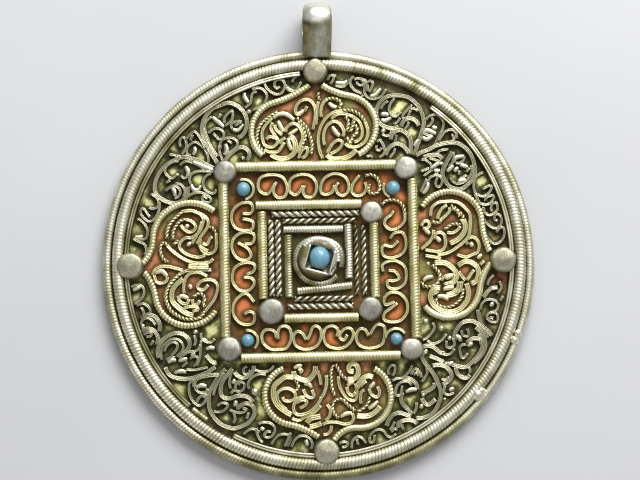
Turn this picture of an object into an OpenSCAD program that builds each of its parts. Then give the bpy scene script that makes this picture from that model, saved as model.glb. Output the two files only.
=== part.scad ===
// Round folk pendant of brass, copper and silver with five turquoise beads.
// It lies on its back: the disc is in the XY plane, its face looks along +Z
// and the bail points along +Y. The origin is the centre of the back face.

/* [Disc] */
// Radius of the disc, to the outside of the outer wound wire
disc_r = 32.5; // [32.5:0.1:33.5]
// Thickness of the back plate
plate_t = 0.9; // [0.6:0.1:1.2]
// Thickness of the thin sheets under the square, the lobes and the silver scrolls
copper_t = 0.15; // [0.1:0.05:0.3]
// Gap left between neighbouring pieces
seam = 0.04; // [0.03:0.01:0.05]

/* [Rim] */
// Diameter of the outer wound wire
outer_wire_d = 1.36; // [1.2:0.02:1.4]
// Diameter of the inner wound wire
inner_wire_d = 1.8; // [1.6:0.05:1.9]
// Radial thickness of the flat strip inside the wound wires
strip_t = 0.7; // [0.5:0.05:0.8]
// Height of the flat strip
strip_h = 1.35; // [1:0.05:1.5]

/* [Square] */
// Diameter of the four bars of the outer square
outer_bar_d = 1.65; // [1.3:0.05:1.65]
// Diameter of the four bars of the inner square
inner_bar_d = 1.5; // [1.2:0.05:1.5]
// Diameter of the four silver bars round the centre stone
silver_bar_d = 1.2; // [0.9:0.05:1.2]
// Diameter of the twisted ropes
rope_d = 1; // [0.7:0.05:1]
// Height of the silver domes above the back face
dome_top = 3.5; // [3:0.1:4]
// Rise of the rounded cap of a dome
dome_cap = 1.0; // [0.7:0.1:1.3]

/* [Scrolls] */
// Height of the scroll ribbons, which stand on edge
scroll_h = 1.1; // [0.8:0.1:1.3]
// Width of the ribbon of the tightest scroll
ribbon_w = 0.38; // [0.3:0.02:0.42]
// Extra ribbon width for each millimetre of scroll radius
ribbon_gain = 0.05; // [0:0.01:0.06]
// Width of the thin ribbon that forms a leaf
leaf_w = 0.28; // [0.24:0.02:0.32]
// Diameter of the wound wire round the lobes
lobe_wire_d = 1.05; // [0.8:0.05:1.1]

/* [Stones] */
// Diameter of the turquoise bead in the centre
centre_stone_d = 3.2; // [2.8:0.1:3.3]
// Base radius of the round silver bezel
bezel_r = 3.8; // [3.5:0.1:3.85]
// Top of the bezel above the back face
bezel_top = 3.4; // [2.8:0.1:3.8]

/* [Bail] */
// Width of the silver band of the bail
bail_w = 4.4; // [3.5:0.1:5]
// Outer radius of the bail's loop
bail_r = 3.2; // [3:0.1:3.6]
// Radius of the eye that the cord goes through
eye_r = 2.45; // [2:0.05:2.5]

/* [Hidden] */
$fn = 48;
// Facets of the domes, the bail and the bezel, of a rim wire's section and of its ring
dome_fn = 96;
wire_fn = 72;
ring_fn = 288;
// Degrees between the points of a curl, of a lobe's round part and of its ogee
curl_step = 15;
lobe_step = 8;
ogee_step = 6;
// Segments of a bowed stem
stem_steps = 6;
// How far a cutting shape runs past what it cuts
past = 1;

// Heights at which things stand: on the back plate, and on a thin sheet
on_plate = plate_t + seam;
on_copper = on_plate + copper_t + seam;

// Radii of the rim, from the outside in
outer_wire_r = disc_r - outer_wire_d / 2;
inner_wire_r = disc_r - outer_wire_d - seam - inner_wire_d / 2;
strip_out = inner_wire_r - inner_wire_d / 2 - seam;
strip_in = strip_out - strip_t;
// The back plate ends a little inside the outer wound wire
plate_inset = 0.2;
plate_r = disc_r - plate_inset;

// Stretches of the flat strip. Columns: start angle, end angle
strips = [
    [94.5, 227],
    [228.2, 233.6],
    [242.6, 413.4],
];

// How far the edge of the square's sheet lies inside the outer side of its bars
sheet_inset = 0.55;

// Bars of the outer square. Columns: name, middle x, middle y, length, turn
outer_bars = [
    ["top", -0.25, 14.7, 23.6, 0],
    ["left", -14.2, 0.6, 22.8, 90],
    ["right", 14.3, 0.35, 23.6, 90],
    ["bottom", -0.05, -14.2, 23.3, 0],
];
// Bars of the inner square, with the same columns
inner_bars = [
    ["top", -1.45, 8.8, 15.5, 0],
    ["left", -8.5, 1.2, 12.8, 90],
    ["right", 8.35, 0.2, 10.9, 90],
    ["bottom", 0.15, -8.35, 10.7, 0],
];
// Silver bars set like a pinwheel round the bezel, with the same columns
silver_bars = [
    ["top", -0.8, 5.05, 9, 0],
    ["left", -4.6, -0.5, 9.4, 90],
    ["right", 4.45, 1.6, 8.2, 90],
    ["bottom", 0.75, -3.88, 8.3, 5],
];
// Twisted ropes, two a side. Columns: middle x, middle y, length, turn
ropes_top = [
    [-0.4, 7.45, 13.2, 0],
    [0.15, 6.35, 11.1, 0],
];
ropes_left = [
    [-7.2, 0.75, 11.5, 90],
    [-6.1, 0.75, 11.5, 90],
];
ropes_right = [
    [5.6, 0.25, 10.5, 90],
    [6.8, 0.25, 10.5, 90],
];
ropes_bottom = [
    [0.6, -5.45, 8.8, 0],
    [0.1, -6.6, 9.9, 0],
];

// Silver domes. Columns: x, y, radius
outer_dome_tl_at = [-13.9, 13.9, 1.75];
outer_dome_tr_at = [13.4, 14.1, 1.75];
outer_dome_bl_at = [-13.7, -12.8, 1.85];
outer_dome_br_at = [13.55, -13.35, 1.7];
inner_dome_tr_at = [8.05, 7.4, 1.65];
inner_dome_bl_at = [-7.3, -7.3, 1.95];
inner_dome_br_at = [7.5, -7.2, 1.8];
rim_dome_top_at = [0, 29.2, 1.85];
rim_dome_left_at = [-28.3, -0.1, 2.0];
rim_dome_right_at = [27.7, -0.2, 1.95];
rim_dome_bottom_at = [0.5, -28.3, 1.9];
outer_domes = [outer_dome_tl_at, outer_dome_tr_at, outer_dome_bl_at, outer_dome_br_at];
rim_domes = [rim_dome_top_at, rim_dome_left_at, rim_dome_right_at, rim_dome_bottom_at];

// Corner beads. Columns: x, y, radius
bead_tl_at = [-11.2, 11.3, 1.1];
bead_tr_at = [11.4, 11.1, 1.1];
bead_bl_at = [-10.95, -11.55, 1.0];
bead_br_at = [11.3, -11.75, 0.95];
// Wire loops round the corner beads, with the columns of a curl
bead_loops = [
    [-11.2, 11.3, 1.55, 1.5, -80, 110],
    [11.4, 11.1, 1.45, 1.4, 150, 250],
    [-10.95, -11.55, 1.55, 1.5, -50, 100],
    [11.3, -11.75, 1.6, 1.5, 175, 30],
];

// Centre of the bezel and of its stone, and the turned square hole in it
bezel_at = [-0.15, 0.5];
stone_at = [0.05, 0.6];
hole_w = 3.6;
hole_turn = -16;

// Middle of the bail's band along X, the distance of its eye from the disc's edge
// and how much lower the band's outer side is at its edges
bail_x = 0.4;
eye_reach = 4.3;
edge_drop = 0.45;
// Distance of the tip of the bail's foot from the disc's edge, and the tip's thickness
foot_reach = 1.3;
foot_t = 0.6;
// Radius of the bezel's lip, height of its upright wall and size of its shoulder
lip_r = 2.95;
wall_h = 0.9;
shoulder = 0.35;

// Hearts between the two squares. Columns: x, y
hearts_top = [[-6.9, 11.2], [-2.2, 11.2], [2.7, 11.2], [7.4, 11.2]];
hearts_left = [[-10.85, 7.2], [-10.85, 2.6], [-10.85, -2.1], [-10.85, -6.8]];
hearts_right = [[11.05, 7.0], [11.05, 2.4], [11.05, -2.3], [11.05, -7.0]];
hearts_bottom = [[-6.7, -11.05], [-2.0, -11.05], [2.6, -11.05], [7.2, -11.05]];
// One heart, bow up. Columns: x, y, start radius, end radius, start angle, end angle
heart_curls = [
    [0, 0, 2.0, 2.0, 0, 180],
    [1.05, 0, 0.95, 0.85, 0, -215],
    [-1.05, 0, 0.95, 0.85, 180, 395],
];

// Half lobes. Columns: centre x, centre y, radius, angle at the square's bar,
// angle where the ogee begins, cusp x, cusp y
lobe_top = [
    [-5.1, 20.0, 4.75, 229, 105, -0.9, 27.2],
    [4.3, 20.75, 4.8, -66, 80, 1.0, 27.2],
];
lobe_left = [
    [-19.3, 3.8, 5.6, 49, 178, -26.6, 0.3],
    [-19.7, -4.2, 4.95, -35, -172, -26.3, -1.0],
];
lobe_right = [
    [19.9, 5.6, 4.85, 149, 2, 25.8, 1.2],
    [19.4, -4.0, 4.7, 219, 352, 25.9, -0.6],
];
lobe_bottom = [
    [-4.2, -19.9, 4.35, 110, 258, -0.6, -26.2],
    [5.6, -20.2, 4.7, 61, -95, 1.6, -26.7],
];

// Layers of a wound wire of the lobes, as shares of its diameter. Columns: bottom, top, width
wire_layers = [
    [0, 0.2, 0.8],
    [0.2, 0.8, 1],
    [0.8, 1, 0.66],
];

// The scroll tables have these columns.
// curls: x, y, start radius, end radius, start angle, end angle
// stems: x and y of one end, x and y of the other, bow to the left of the way
// leaves: x and y of one tip, x and y of the other, width
// Silver field at the top left
tl_curls = [
    [-13.9, 21.25, 3.25, 3.1, 195, -25],
    [-12.25, 20.75, 1.55, 1.2, -12, -140],
    [-12, 21.2, 0.75, 0.9, 70, 350],
    [-15.4, 21.1, 1.3, 1.25, 190, 100],
    [-14.75, 19.9, 0.8, 0.5, 110, -170],
    [-13.4, 17.9, 1.25, 1.1, 170, -60],
    [-11.4, 16.7, 1.15, 1.05, 125, -60],
    [-18.6, 19.15, 1.05, 0.95, 15, 190],
    [-20.3, 18.8, 0.55, 0.5, 230, -40],
    [-18.4, 17.4, 1, 1.25, 195, 15],
    [-21.5, 12.95, 3.15, 3, 90, 270],
    [-21.5, 11.65, 1.8, 1.75, 270, 385],
    [-21.7, 14.5, 1.2, 1.05, 20, 310],
    [-21.7, 11.3, 0.85, 0.75, 200, -150],
    [-18.1, 12.9, 1.15, 1.1, 60, 290],
    [-16.1, 12.4, 1, 0.95, 90, 300],
    [-16.9, 10.15, 0.65, 0.5, 100, -200],
    [-27.2, 2.5, 1.05, 1.05, 110, -70],
    [-27.3, 5.55, 1.4, 1.4, 95, -75],
    [-25.4, 8, 1.1, 1, 30, -170],
    [-25.3, 9.9, 0.9, 0.95, 60, -120],
    [-3.5, 27.4, 1.15, 1.1, 170, 370],
    [-5.9, 27, 1.2, 0.35, 215, 600],
    [-8.5, 25.7, 1.45, 1.35, -60, 190],
];
tl_stems = [
    [-17.35, 20.6, -15.2, 15.2, -0.45],
    [-16.4, 20.1, -15, 16.4, -0.3],
    [-15.8, 22.4, -14, 21, 0],
    [-16.3, 20, -15.1, 20.75, 0.25],
    [-14.75, 17.8, -14.1, 15.9, -0.1],
    [-13.8, 15.6, -12.1, 17.7, 0.25],
    [-12, 18.3, -11, 18.7, 0],
    [-19.9, 18.4, -20.5, 16.9, 0.1],
    [-17.1, 17.5, -16.6, 15.4, 0.15],
    [-15.2, 14.6, -21.5, 16.5, -0.5],
    [-16, 14.2, -20.5, 15.3, -0.7],
    [-22.2, 17, -17, 15.7, 0.25],
    [-22.8, 12.5, -22.2, 13, 0],
    [-19.7, 10, -17.4, 10.9, 0.35],
    [-7.8, 27.7, -6.9, 26.3, 0],
];
tl_leaves = [
    [-13.7, 21.2, -13.1, 23.2, 1.1],
    [-13.6, 18.4, -13.8, 16.7, 0.6],
    [-11.3, 17.2, -11.1, 16, 0.5],
    [-19.3, 18.9, -19, 20, 0.5],
    [-19.1, 16.6, -18.4, 17.9, 0.7],
    [-20.1, 13.2, -20, 15.1, 0.95],
    [-21.9, 11.9, -21.4, 10.6, 0.5],
    [-26.3, 8.4, -25.6, 7.3, 0.45],
    [-10.8, 25.9, -10.3, 24.7, 0.5],
];
// Silver field at the top right
tr_curls = [
    [12.6, 22.05, 3.3, 3.2, -20, 180],
    [11.3, 22.2, 2, 1.75, 185, 315],
    [12.6, 22.2, 2.6, 2.5, 110, 160],
    [12, 23, 0.7, 0.7, 180, 340],
    [11.3, 21.6, 1.15, 1.15, 220, 330],
    [10.7, 19.8, 0.7, 0.7, 170, 370],
    [14.1, 22.6, 0.7, 0.45, 80, 330],
    [14.3, 20.5, 1.2, 1.15, 170, -30],
    [12.6, 18.4, 1.15, 1.3, 175, 10],
    [12, 16.2, 1.4, 1.5, 165, 10],
    [9.1, 17.1, 0.95, 0.85, 70, -60],
    [20.8, 14.6, 3, 3, 105, 0],
    [21.55, 13.6, 2.5, 2.45, 10, -180],
    [21.7, 13.4, 1.8, 1.75, -15, -165],
    [17.6, 14.7, 1.2, 1.25, 130, 20],
    [16.1, 14.4, 0.85, 0.8, 100, -80],
    [18.1, 21, 1.25, 1.2, 170, -30],
    [17.2, 21.2, 0.65, 0.55, 40, -90],
    [20.1, 18.5, 1.15, 1.05, 175, -10],
    [21, 18.6, 0.45, 0.35, 60, -150],
    [25.15, 11.3, 1.75, 1.4, 100, 270],
    [25.3, 10.7, 0.95, 0.85, 270, 420],
    [25.4, 9.1, 1.05, 0.55, 170, 470],
    [26.2, 7.6, 1.1, 0.65, 180, 450],
    [26.5, 6, 1.25, 1, 180, 440],
    [26.7, 4, 1.45, 1.35, 170, 400],
    [2.6, 28.2, 0.7, 0.6, 60, 330],
    [6.3, 27.3, 1.15, 0.85, 60, 300],
    [8.9, 26.5, 1.5, 1.8, 190, 350],
];
tr_stems = [
    [16.4, 21.2, 14.6, 16.2, -0.3],
    [12.1, 25, 11.3, 23, -0.25],
    [12.7, 21.9, 12.2, 21.2, 0],
    [10, 22.75, 11.3, 22.6, 0],
    [14.3, 23.3, 14.9, 23.45, 0],
    [14.1, 18.6, 14.1, 16.1, 0.1],
    [12.1, 19.2, 11.9, 18.2, 0],
    [14.7, 17.5, 15.3, 18.4, 0],
    [15.2, 16.1, 20, 17.8, 0.15],
    [17.9, 16.5, 20, 17, 0.2],
    [19, 13.6, 20.3, 16.6, 0.2],
    [17.2, 13.7, 19.2, 14.7, 0.2],
    [17.5, 14.2, 18.8, 14.8, 0],
    [18.1, 13.2, 16.9, 11.5, -0.35],
    [15.9, 13.3, 16.6, 13.1, 0],
    [16.3, 12.9, 15.9, 11.9, 0],
    [21.9, 14.95, 22.9, 14.3, 0],
    [18.4, 19.4, 17.5, 17.3, -0.3],
    [19.4, 20.6, 18.4, 18, -0.2],
    [9.4, 26.2, 11.2, 26.5, -0.4],
    [16.2, 19.5, 15.1, 16.4, -0.1],
];
tr_leaves = [
    [9.7, 22.1, 11.6, 21.9, 0.8],
    [14.1, 21.2, 13.4, 20, 0.4],
    [11.8, 17.1, 11, 15.7, 0.5],
    [19.4, 14.9, 20.5, 16.7, 0.8],
    [20.9, 13.9, 21.4, 12.2, 0.8],
    [20.7, 15, 22.4, 15.9, 0.6],
    [19.7, 13.6, 20.7, 14.5, 0.5],
    [18.3, 13.3, 18.5, 11.1, 1],
    [16.8, 11.4, 15.6, 9.8, 0.5],
    [16.2, 19.2, 18.3, 19.3, 1.4],
    [20.1, 19, 19.7, 18.2, 0.5],
    [3.2, 27.5, 4.8, 27.3, 0.7],
    [8, 25.9, 8.7, 27.6, 0.7],
];
// Silver field at the bottom left
bl_curls = [
    [-22, -12.5, 2.3, 2.2, 0, 180],
    [-20.9, -13.6, 3.4, 3.35, 165, 270],
    [-22.2, -12.5, 1.2, 1.15, 200, -50],
    [-22.1, -12.6, 1.8, 1.75, 20, 170],
    [-22.4, -14.8, 0.7, 0.65, 160, 40],
    [-16.7, -10.4, 1.2, 1.2, 200, 330],
    [-15.9, -13.3, 1.3, 1.25, 180, 265],
    [-18.4, -19.8, 1.15, 1.05, 160, 380],
    [-17.5, -18, 1.4, 1.1, 95, 215],
    [-13.4, -21.3, 3.2, 3.1, 170, 380],
    [-11.9, -21.3, 1.55, 1.4, 25, 150],
    [-11.5, -15.5, 1.4, 1.3, 195, 350],
    [-11.3, -15.9, 0.55, 0.45, 240, -60],
    [-12.1, -18.4, 0.75, 0.7, 100, 420],
    [-11.8, -22, 1.05, 1.1, 150, 10],
    [-15, -21.4, 0.9, 0.8, 70, -200],
    [-14.1, -23.1, 1.05, 0.95, 70, -40],
    [-10, -18.6, 1.7, 1.35, 95, 190],
    [-9.9, -19.3, 0.7, 0.65, 60, 350],
    [-8.6, -15.3, 1.2, 1.1, 200, 340],
    [-10.6, -26, 1.15, 1.15, 165, 20],
    [-8.2, -25.1, 1.2, 1.15, 110, -90],
    [-6.2, -26.9, 1.3, 1.2, 170, 40],
    [-3.1, -27.6, 1.55, 1.45, 160, -30],
    [-2.3, -27.8, 0.7, 0.55, -30, -200],
    [-27.3, -3.8, 1, 0.95, 110, -50],
    [-26.2, -6.8, 0.9, 0.9, 180, -20],
    [-25.3, -9, 1.35, 1.4, 170, -10],
    [-25.7, -10.9, 1.2, 1.15, 110, -60],
];
bl_stems = [
    [-20.9, -17.2, -15.3, -15.4, -0.4],
    [-19.4, -12.4, -20.9, -14.3, -0.4],
    [-21.5, -16.3, -19.9, -16.2, 0.3],
    [-19.6, -13.6, -18.3, -12.9, 0],
    [-18, -10.8, -18.2, -14.9, 0.3],
    [-17.3, -12.6, -15.9, -12.6, 0.2],
    [-18.9, -17.1, -19.6, -19.2, -0.15],
    [-17.5, -16.5, -15.4, -16.6, -0.1],
    [-16.9, -20.8, -14.4, -15.6, 0.7],
    [-16.2, -19.7, -15, -16.4, 0.3],
    [-14.9, -19.8, -13.6, -15.9, 0.45],
    [-14.9, -19.8, -13.6, -19.9, -0.3],
    [-13.2, -15.8, -13.6, -18.4, -0.3],
    [-13.7, -17.7, -12.9, -17.1, 0],
    [-8.2, -16.9, -10.2, -16.8, 0],
    [-9.5, -25.7, -9, -26.9, 0.1],
    [-10.9, -24.4, -9.6, -23.9, 0],
    [-9.6, -23.9, -8.5, -23.9, 0.1],
    [-26.6, -4.6, -27.9, -6, -0.15],
    [-26.8, -6.1, -26.4, -7.5, 0.1],
];
bl_leaves = [
    [-21.1, -14.8, -19.9, -14.3, 0.5],
    [-19.1, -15.2, -18.5, -13.7, 0.8],
    [-18.6, -20.5, -17.9, -19.5, 0.5],
    [-18.7, -18.7, -17, -18.6, 0.7],
    [-13.5, -21.3, -12.8, -20.5, 0.5],
    [-12.8, -22, -10.9, -21.9, 1],
    [-8.8, -26.1, -7.6, -25.4, 0.5],
    [-5.8, -28, -4.7, -25.6, 0.7],
    [-28.1, -3.9, -26.6, -3.1, 0.7],
    [-26.3, -10.7, -25.2, -10.1, 0.6],
];
// Silver field at the bottom right
br_curls = [
    [22.3, -12, 2.15, 2.5, 160, 0],
    [21.5, -12.5, 3.3, 3.3, 5, -95],
    [22.9, -13.1, 1.2, 1.25, 140, -20],
    [21.1, -13.9, 0.9, 1.05, 110, -110],
    [19.5, -12.7, 0.55, 0.55, 160, 380],
    [19, -12.9, 1.25, 1.2, 230, 330],
    [17.4, -10.7, 1.65, 1.65, 220, 370],
    [15.7, -10.5, 1.4, 1.4, 40, -90],
    [15.9, -14, 1.1, 1.2, 120, 20],
    [14.8, -20.3, 2.8, 2.75, 10, -190],
    [12.9, -18.9, 1.1, 1.1, 100, -10],
    [12.4, -19.5, 1.15, 1.1, 60, 190],
    [14, -17.2, 0.8, 0.8, 170, 0],
    [10.4, -16.4, 0.7, 0.65, 130, 400],
    [14.6, -16.9, 1.2, 1.1, 40, -70],
    [15.9, -20.4, 1.15, 1.1, 200, 330],
    [21.3, -16.6, 1.15, 1.2, 170, 390],
    [19.2, -19.4, 1.05, 0.95, 170, 310],
    [26.9, -3.9, 1.45, 1.4, 180, 120],
    [26.5, -5.9, 1.75, 1.6, 170, 80],
    [26.6, -5.7, 0.75, 0.65, -10, -70],
    [25.2, -7.5, 1.3, 1.3, 215, -10],
    [11.2, -24.8, 1.6, 1.55, 190, 75],
    [10.3, -25.5, 0.85, 0.55, 180, 470],
    [12.2, -24.9, 0.95, 0.95, 190, 70],
    [8.1, -26.3, 1.1, 1.15, 185, 20],
    [5.3, -27.1, 1, 1.05, 170, -20],
    [3.1, -27.2, 0.8, 0.55, 180, 400],
];
br_stems = [
    [22, -16, 16.3, -14.6, 0.2],
    [20, -15.4, 16.6, -15.9, 0.3],
    [18.2, -15.9, 19.5, -17.4, 0.3],
    [15.2, -13.3, 17.7, -19, -0.25],
    [20.4, -11.5, 21.1, -12.6, 0],
    [24.2, -13.4, 22.4, -15.6, -0.35],
    [17.6, -13.9, 18.4, -14.4, 0],
    [10.5, -17.9, 12.7, -17.7, 0.05],
    [12.8, -19.7, 14.1, -19.3, 0],
    [13.6, -15.5, 12.2, -17.6, -0.25],
    [16.9, -18.4, 14.7, -20, -0.45],
    [14.4, -22.1, 14.9, -21.2, 0],
    [18.9, -19.2, 20, -19.7, 0],
    [24.3, -9.6, 25.9, -12.1, 0.15],
    [12.5, -23.95, 14.1, -24.6, 0.15],
    [4.9, -26.5, 5, -28, 0.1],
];
br_leaves = [
    [21.6, -11.9, 21.9, -10.1, 1],
    [22.1, -12.9, 23.2, -12.4, 0.5],
    [21, -14, 21.5, -14.8, 0.4],
    [15.4, -14.2, 16.2, -13.3, 0.5],
    [17.9, -18.6, 19.5, -17.4, 0.9],
    [11.2, -20.3, 11.9, -18.8, 0.5],
    [10.3, -15.8, 10.6, -16.8, 0.4],
    [22.1, -16.9, 22.5, -15.9, 0.4],
    [26.2, -5.8, 27, -4.6, 0.3],
    [25.4, -7.2, 26.3, -6.5, 0.4],
    [24.9, -8.9, 26.9, -8.8, 1.5],
    [11.8, -24.4, 12.3, -25.7, 0.5],
    [7, -27.2, 7.7, -25.9, 0.5],
];
// Brass scrolls in the top lobe
top_curls = [
    [-4.8, 19.5, 3.3, 3.2, 240, 60],
    [-4.8, 19.5, 2.65, 2.5, 235, 100],
    [-4.3, 18.1, 2, 2, 215, 335],
    [-6.9, 18.5, 0.85, 0.7, 100, 430],
    [-1.7, 23.7, 1.15, 1.15, 170, -40],
    [4.1, 19.6, 3.55, 3.6, 200, -70],
    [4.3, 19.9, 2.75, 2.7, 180, -60],
    [2.4, 24.2, 1.05, 1, 190, -40],
    [0.3, 26, 0.55, 0.5, 200, -100],
    [4, 21.2, 0.75, 0.6, -20, 200],
];
top_stems = [
    [-6.4, 21.9, -6, 19.2, -0.15],
    [-5.9, 21.7, -5, 20.4, 0],
    [-5.5, 22.2, -3.4, 21.3, 0.15],
    [-6.1, 17.5, -4.6, 18.3, -0.1],
    [-1.5, 21, -2.6, 17, 0.2],
    [-0.5, 23, -0.5, 16.2, 0.15],
    [-2.9, 23, -1.9, 22.7, -0.3],
    [2, 21, 3.1, 19.5, 0],
    [4.6, 22, 4.3, 19.4, -0.35],
    [4.3, 19.2, 5, 17.5, -0.3],
    [5.9, 21.9, 6.3, 18.6, -0.3],
    [1.5, 17.2, 6.4, 17.3, -1.1],
    [0.5, 22, 0.6, 17.8, -0.2],
];
top_leaves = [
    [-4.2, 19.2, -3.4, 17.2, 0.6],
    [-4, 20, -2.7, 20.9, 0.6],
    [1.6, 16.6, 3.7, 18.5, 0.9],
];
// Brass scrolls in the left lobe
left_curls = [
    [-19.6, 5, 2.9, 2.85, 190, 20],
    [-20.3, 5.3, 1.6, 1.4, 200, 60],
    [-19.7, 5.9, 0.95, 0.7, 50, -160],
    [-19.5, 5, 2.35, 2.2, 110, 40],
    [-19.3, 3, 1.4, 1.25, 170, 80],
    [-16.75, 3.3, 1.45, 1.5, 30, -150],
    [-18.8, 3, 2, 2, 190, 300],
    [-23.1, 2.3, 0.9, 0.85, 200, -30],
    [-18.6, -2.4, 1.35, 1.35, 60, 190],
    [-19.8, -3.9, 3.05, 3, 75, 210],
    [-17, -3.6, 1.35, 1.05, -10, 190],
    [-19.9, -4.8, 2.15, 2.25, 110, 260],
    [-19.1, -6.9, 0.7, 0.55, 270, 480],
    [-19.6, -4.6, 3.1, 3, 215, 320],
    [-20.3, -5, 0.85, 0.8, 180, 360],
    [-18.2, -5.1, 0.75, 0.75, 220, -80],
    [-23.8, -1.6, 1.1, 1.1, 170, 350],
];
left_stems = [
    [-16.7, 6.2, -18.4, 3.2, -0.3],
    [-17, 5.3, -18.9, 3.4, -0.2],
    [-16.4, 6, -15.3, 4.2, 0.2],
    [-18.1, 3, -17.2, 3.8, 0],
    [-16.9, 2.7, -16.4, 3.9, 0],
    [-22.4, 3.2, -19.6, 0.6, -0.1],
    [-23.7, 1.8, -22.8, 0.6, -0.1],
    [-20.1, -2.6, -20.2, -4.3, 0],
    [-17.2, -6.8, -15.5, -3.9, -0.2],
    [-16.4, -1.8, -17.9, -1.05, 0.1],
    [-18.9, -0.5, -16.5, -0.4, 0.1],
    [-19.7, -2.9, -19, -3.9, 0],
    [-24.9, -1.2, -20.9, -0.8, 0.9],
    [-24.5, -1, -22.7, -1.9, 0.2],
];
left_leaves = [
    [-20.4, 6.3, -19.2, 5.3, 0.4],
    [-19.9, 2.9, -18.9, 3.6, 0.4],
    [-21.3, -4.9, -19.5, -4.8, 0.8],
    [-17.9, -3.8, -16.8, -3, 0.4],
];
// Brass scrolls in the right lobe
right_curls = [
    [20, 5.8, 2.65, 2.8, 175, 0],
    [19.1, 5.2, 3.65, 3.85, 0, -80],
    [19.6, 4.9, 2.4, 2.4, 70, -85],
    [20.4, 4.8, 1.05, 0.85, 40, 330],
    [18, 2.7, 1.25, 1.2, 60, -120],
    [23, 1.9, 1.15, 1.1, 130, -100],
    [18.6, -3.5, 2.85, 3, 100, 0],
    [19.6, -5, 2.55, 2.65, 15, -200],
    [19.4, -5, 1.85, 1.8, 15, -150],
    [19.2, -2.2, 1.05, 1.05, -160, 0],
    [16.7, -2.4, 1.3, 1.3, 50, -150],
    [19.4, -3.7, 1.5, 1.5, 215, 340],
    [22.9, -2.2, 1.25, 1.3, 70, -110],
];
right_stems = [
    [17.2, 6.4, 17.4, 4.9, 0.1],
    [18.8, 6, 18, 4.6, 0],
    [17.4, 4.5, 15.4, 1.6, -0.3],
    [17.3, 1.45, 16.1, 1.7, 0],
    [15.4, 5.1, 16.3, 6.4, 0],
    [15.6, 5, 16.8, 4.3, 0],
    [22.8, 2.6, 23.2, 1.7, 0],
    [22.8, 0.75, 20.8, 0.9, 0.1],
    [17.2, -0.9, 17.9, -1.5, 0],
    [18.4, -3, 19.9, -2.2, 0.15],
    [20.6, -0.7, 23.3, -0.8, 0.35],
    [22.2, -3.2, 23.7, -1, 0.1],
    [17.4, -6.2, 19.1, -6.7, -0.1],
];
right_leaves = [
    [18.3, 6.2, 19.8, 8.2, 0.6],
    [17.6, 3.9, 18.6, 2.8, 0.8],
    [15.4, -3.3, 17.3, -2.5, 0.6],
    [18.4, -4.6, 20.2, -4, 0.6],
    [17.4, -5.9, 19.3, -5.3, 0.5],
];
// Brass scrolls in the bottom lobe
bottom_curls = [
    [-4.7, -19.9, 2.45, 2.8, 75, 265],
    [-5, -20.1, 1.4, 1.35, 60, 230],
    [-5, -20, 0.75, 0.75, 150, -150],
    [-2.5, -16.3, 1.35, 1.4, 165, 370],
    [-3.45, -16.2, 0.45, 0.4, 120, -90],
    [-1.7, -19.5, 1.05, 1.05, 150, 300],
    [-3.2, -19.9, 3.15, 3.2, 40, -115],
    [-3.3, -21.6, 1.15, 1.15, 170, 290],
    [4.7, -16.5, 1, 0.75, -110, 150],
    [3.9, -19.1, 1.3, 1.35, 170, 370],
    [6.9, -18.9, 1.5, 1.4, 170, 70],
    [2.9, -21.9, 1.25, 1.35, 80, 250],
    [3.8, -23.3, 1.05, 1.05, 270, 380],
];
bottom_stems = [
    [-4.1, -17.9, -3.4, -19.2, 0],
    [2.1, -15.5, 1.8, -20.3, -0.5],
    [2.3, -15.7, 4.3, -17.5, -0.35],
    [6.4, -19.4, 5.8, -21.4, 0.15],
    [7.2, -18.9, 7.8, -18.3, 0],
    [7.1, -20.4, 5, -22.6, -0.35],
    [5.3, -23.1, 8.5, -21.6, -0.4],
    [3, -21.2, 4.9, -22.2, 0],
    [0.4, -24, 3.9, -24.4, 0],
    [0.9, -21.2, 0.2, -23.9, -0.3],
];
bottom_leaves = [
    [-2.7, -18.8, -1.3, -20, 0.8],
    [-4.4, -21.8, -2.4, -20.5, 1.2],
    [-2.6, -24, -0.3, -23.4, 0.9],
    [4.3, -18.1, 4.6, -20.1, 1],
    [7.7, -18.4, 8.1, -20.6, 1],
    [6.8, -22.3, 8.2, -21.1, 0.5],
    [2.6, -23.2, 4.5, -22.9, 0.6],
    [0.1, -25.8, 1.3, -24.6, 0.6],
];

// The points of a list in the opposite order
function backwards(points) = [for (i = [len(points) - 1:-1:0]) points[i]];

// Points on an arc whose radius changes evenly from r0 to r1
function arc_points(x, y, r0, r1, a0, a1, step = curl_step) =
    let (n = max(3, ceil(abs(a1 - a0) / step)))
    [for (i = [0:n])
        let (a = a0 + (a1 - a0) * i / n, r = r0 + (r1 - r0) * i / n)
        [x + r * cos(a), y + r * sin(a)]];

// Width of the ribbon of a curl with this larger radius
function curl_width(r) = ribbon_w + ribbon_gain * r;

// A curl standing on edge
module curl(c) {
    half = curl_width(max(c[2], c[3])) / 2;
    linear_extrude(height = scroll_h)
        polygon(concat(
            arc_points(c[0], c[1], c[2] + half, c[3] + half, c[4], c[5]),
            backwards(arc_points(c[0], c[1], c[2] - half, c[3] - half, c[4], c[5]))));
}

// Points along a bowed stem, moved sideways by shift
function stem_points(s, shift) =
    let (dx = s[2] - s[0], dy = s[3] - s[1], len = norm([dx, dy]), n = s[4] == 0 ? 1 : stem_steps)
    [for (i = [0:n])
        let (t = i / n, side = shift + 4 * s[4] * t * (1 - t))
        [s[0] + dx * t - dy / len * side, s[1] + dy * t + dx / len * side]];

// A bowed ribbon of width w standing on edge
module stem(s, w) {
    linear_extrude(height = scroll_h)
        polygon(concat(stem_points(s, w / 2), backwards(stem_points(s, -w / 2))));
}

// A leaf: two bowed ribbons that meet at both tips
module leaf(l) {
    tips = [l[0], l[1], l[2], l[3]];
    stem(concat(tips, [l[4] / 2]), leaf_w);
    stem(concat(tips, [-l[4] / 2]), leaf_w);
}

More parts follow.
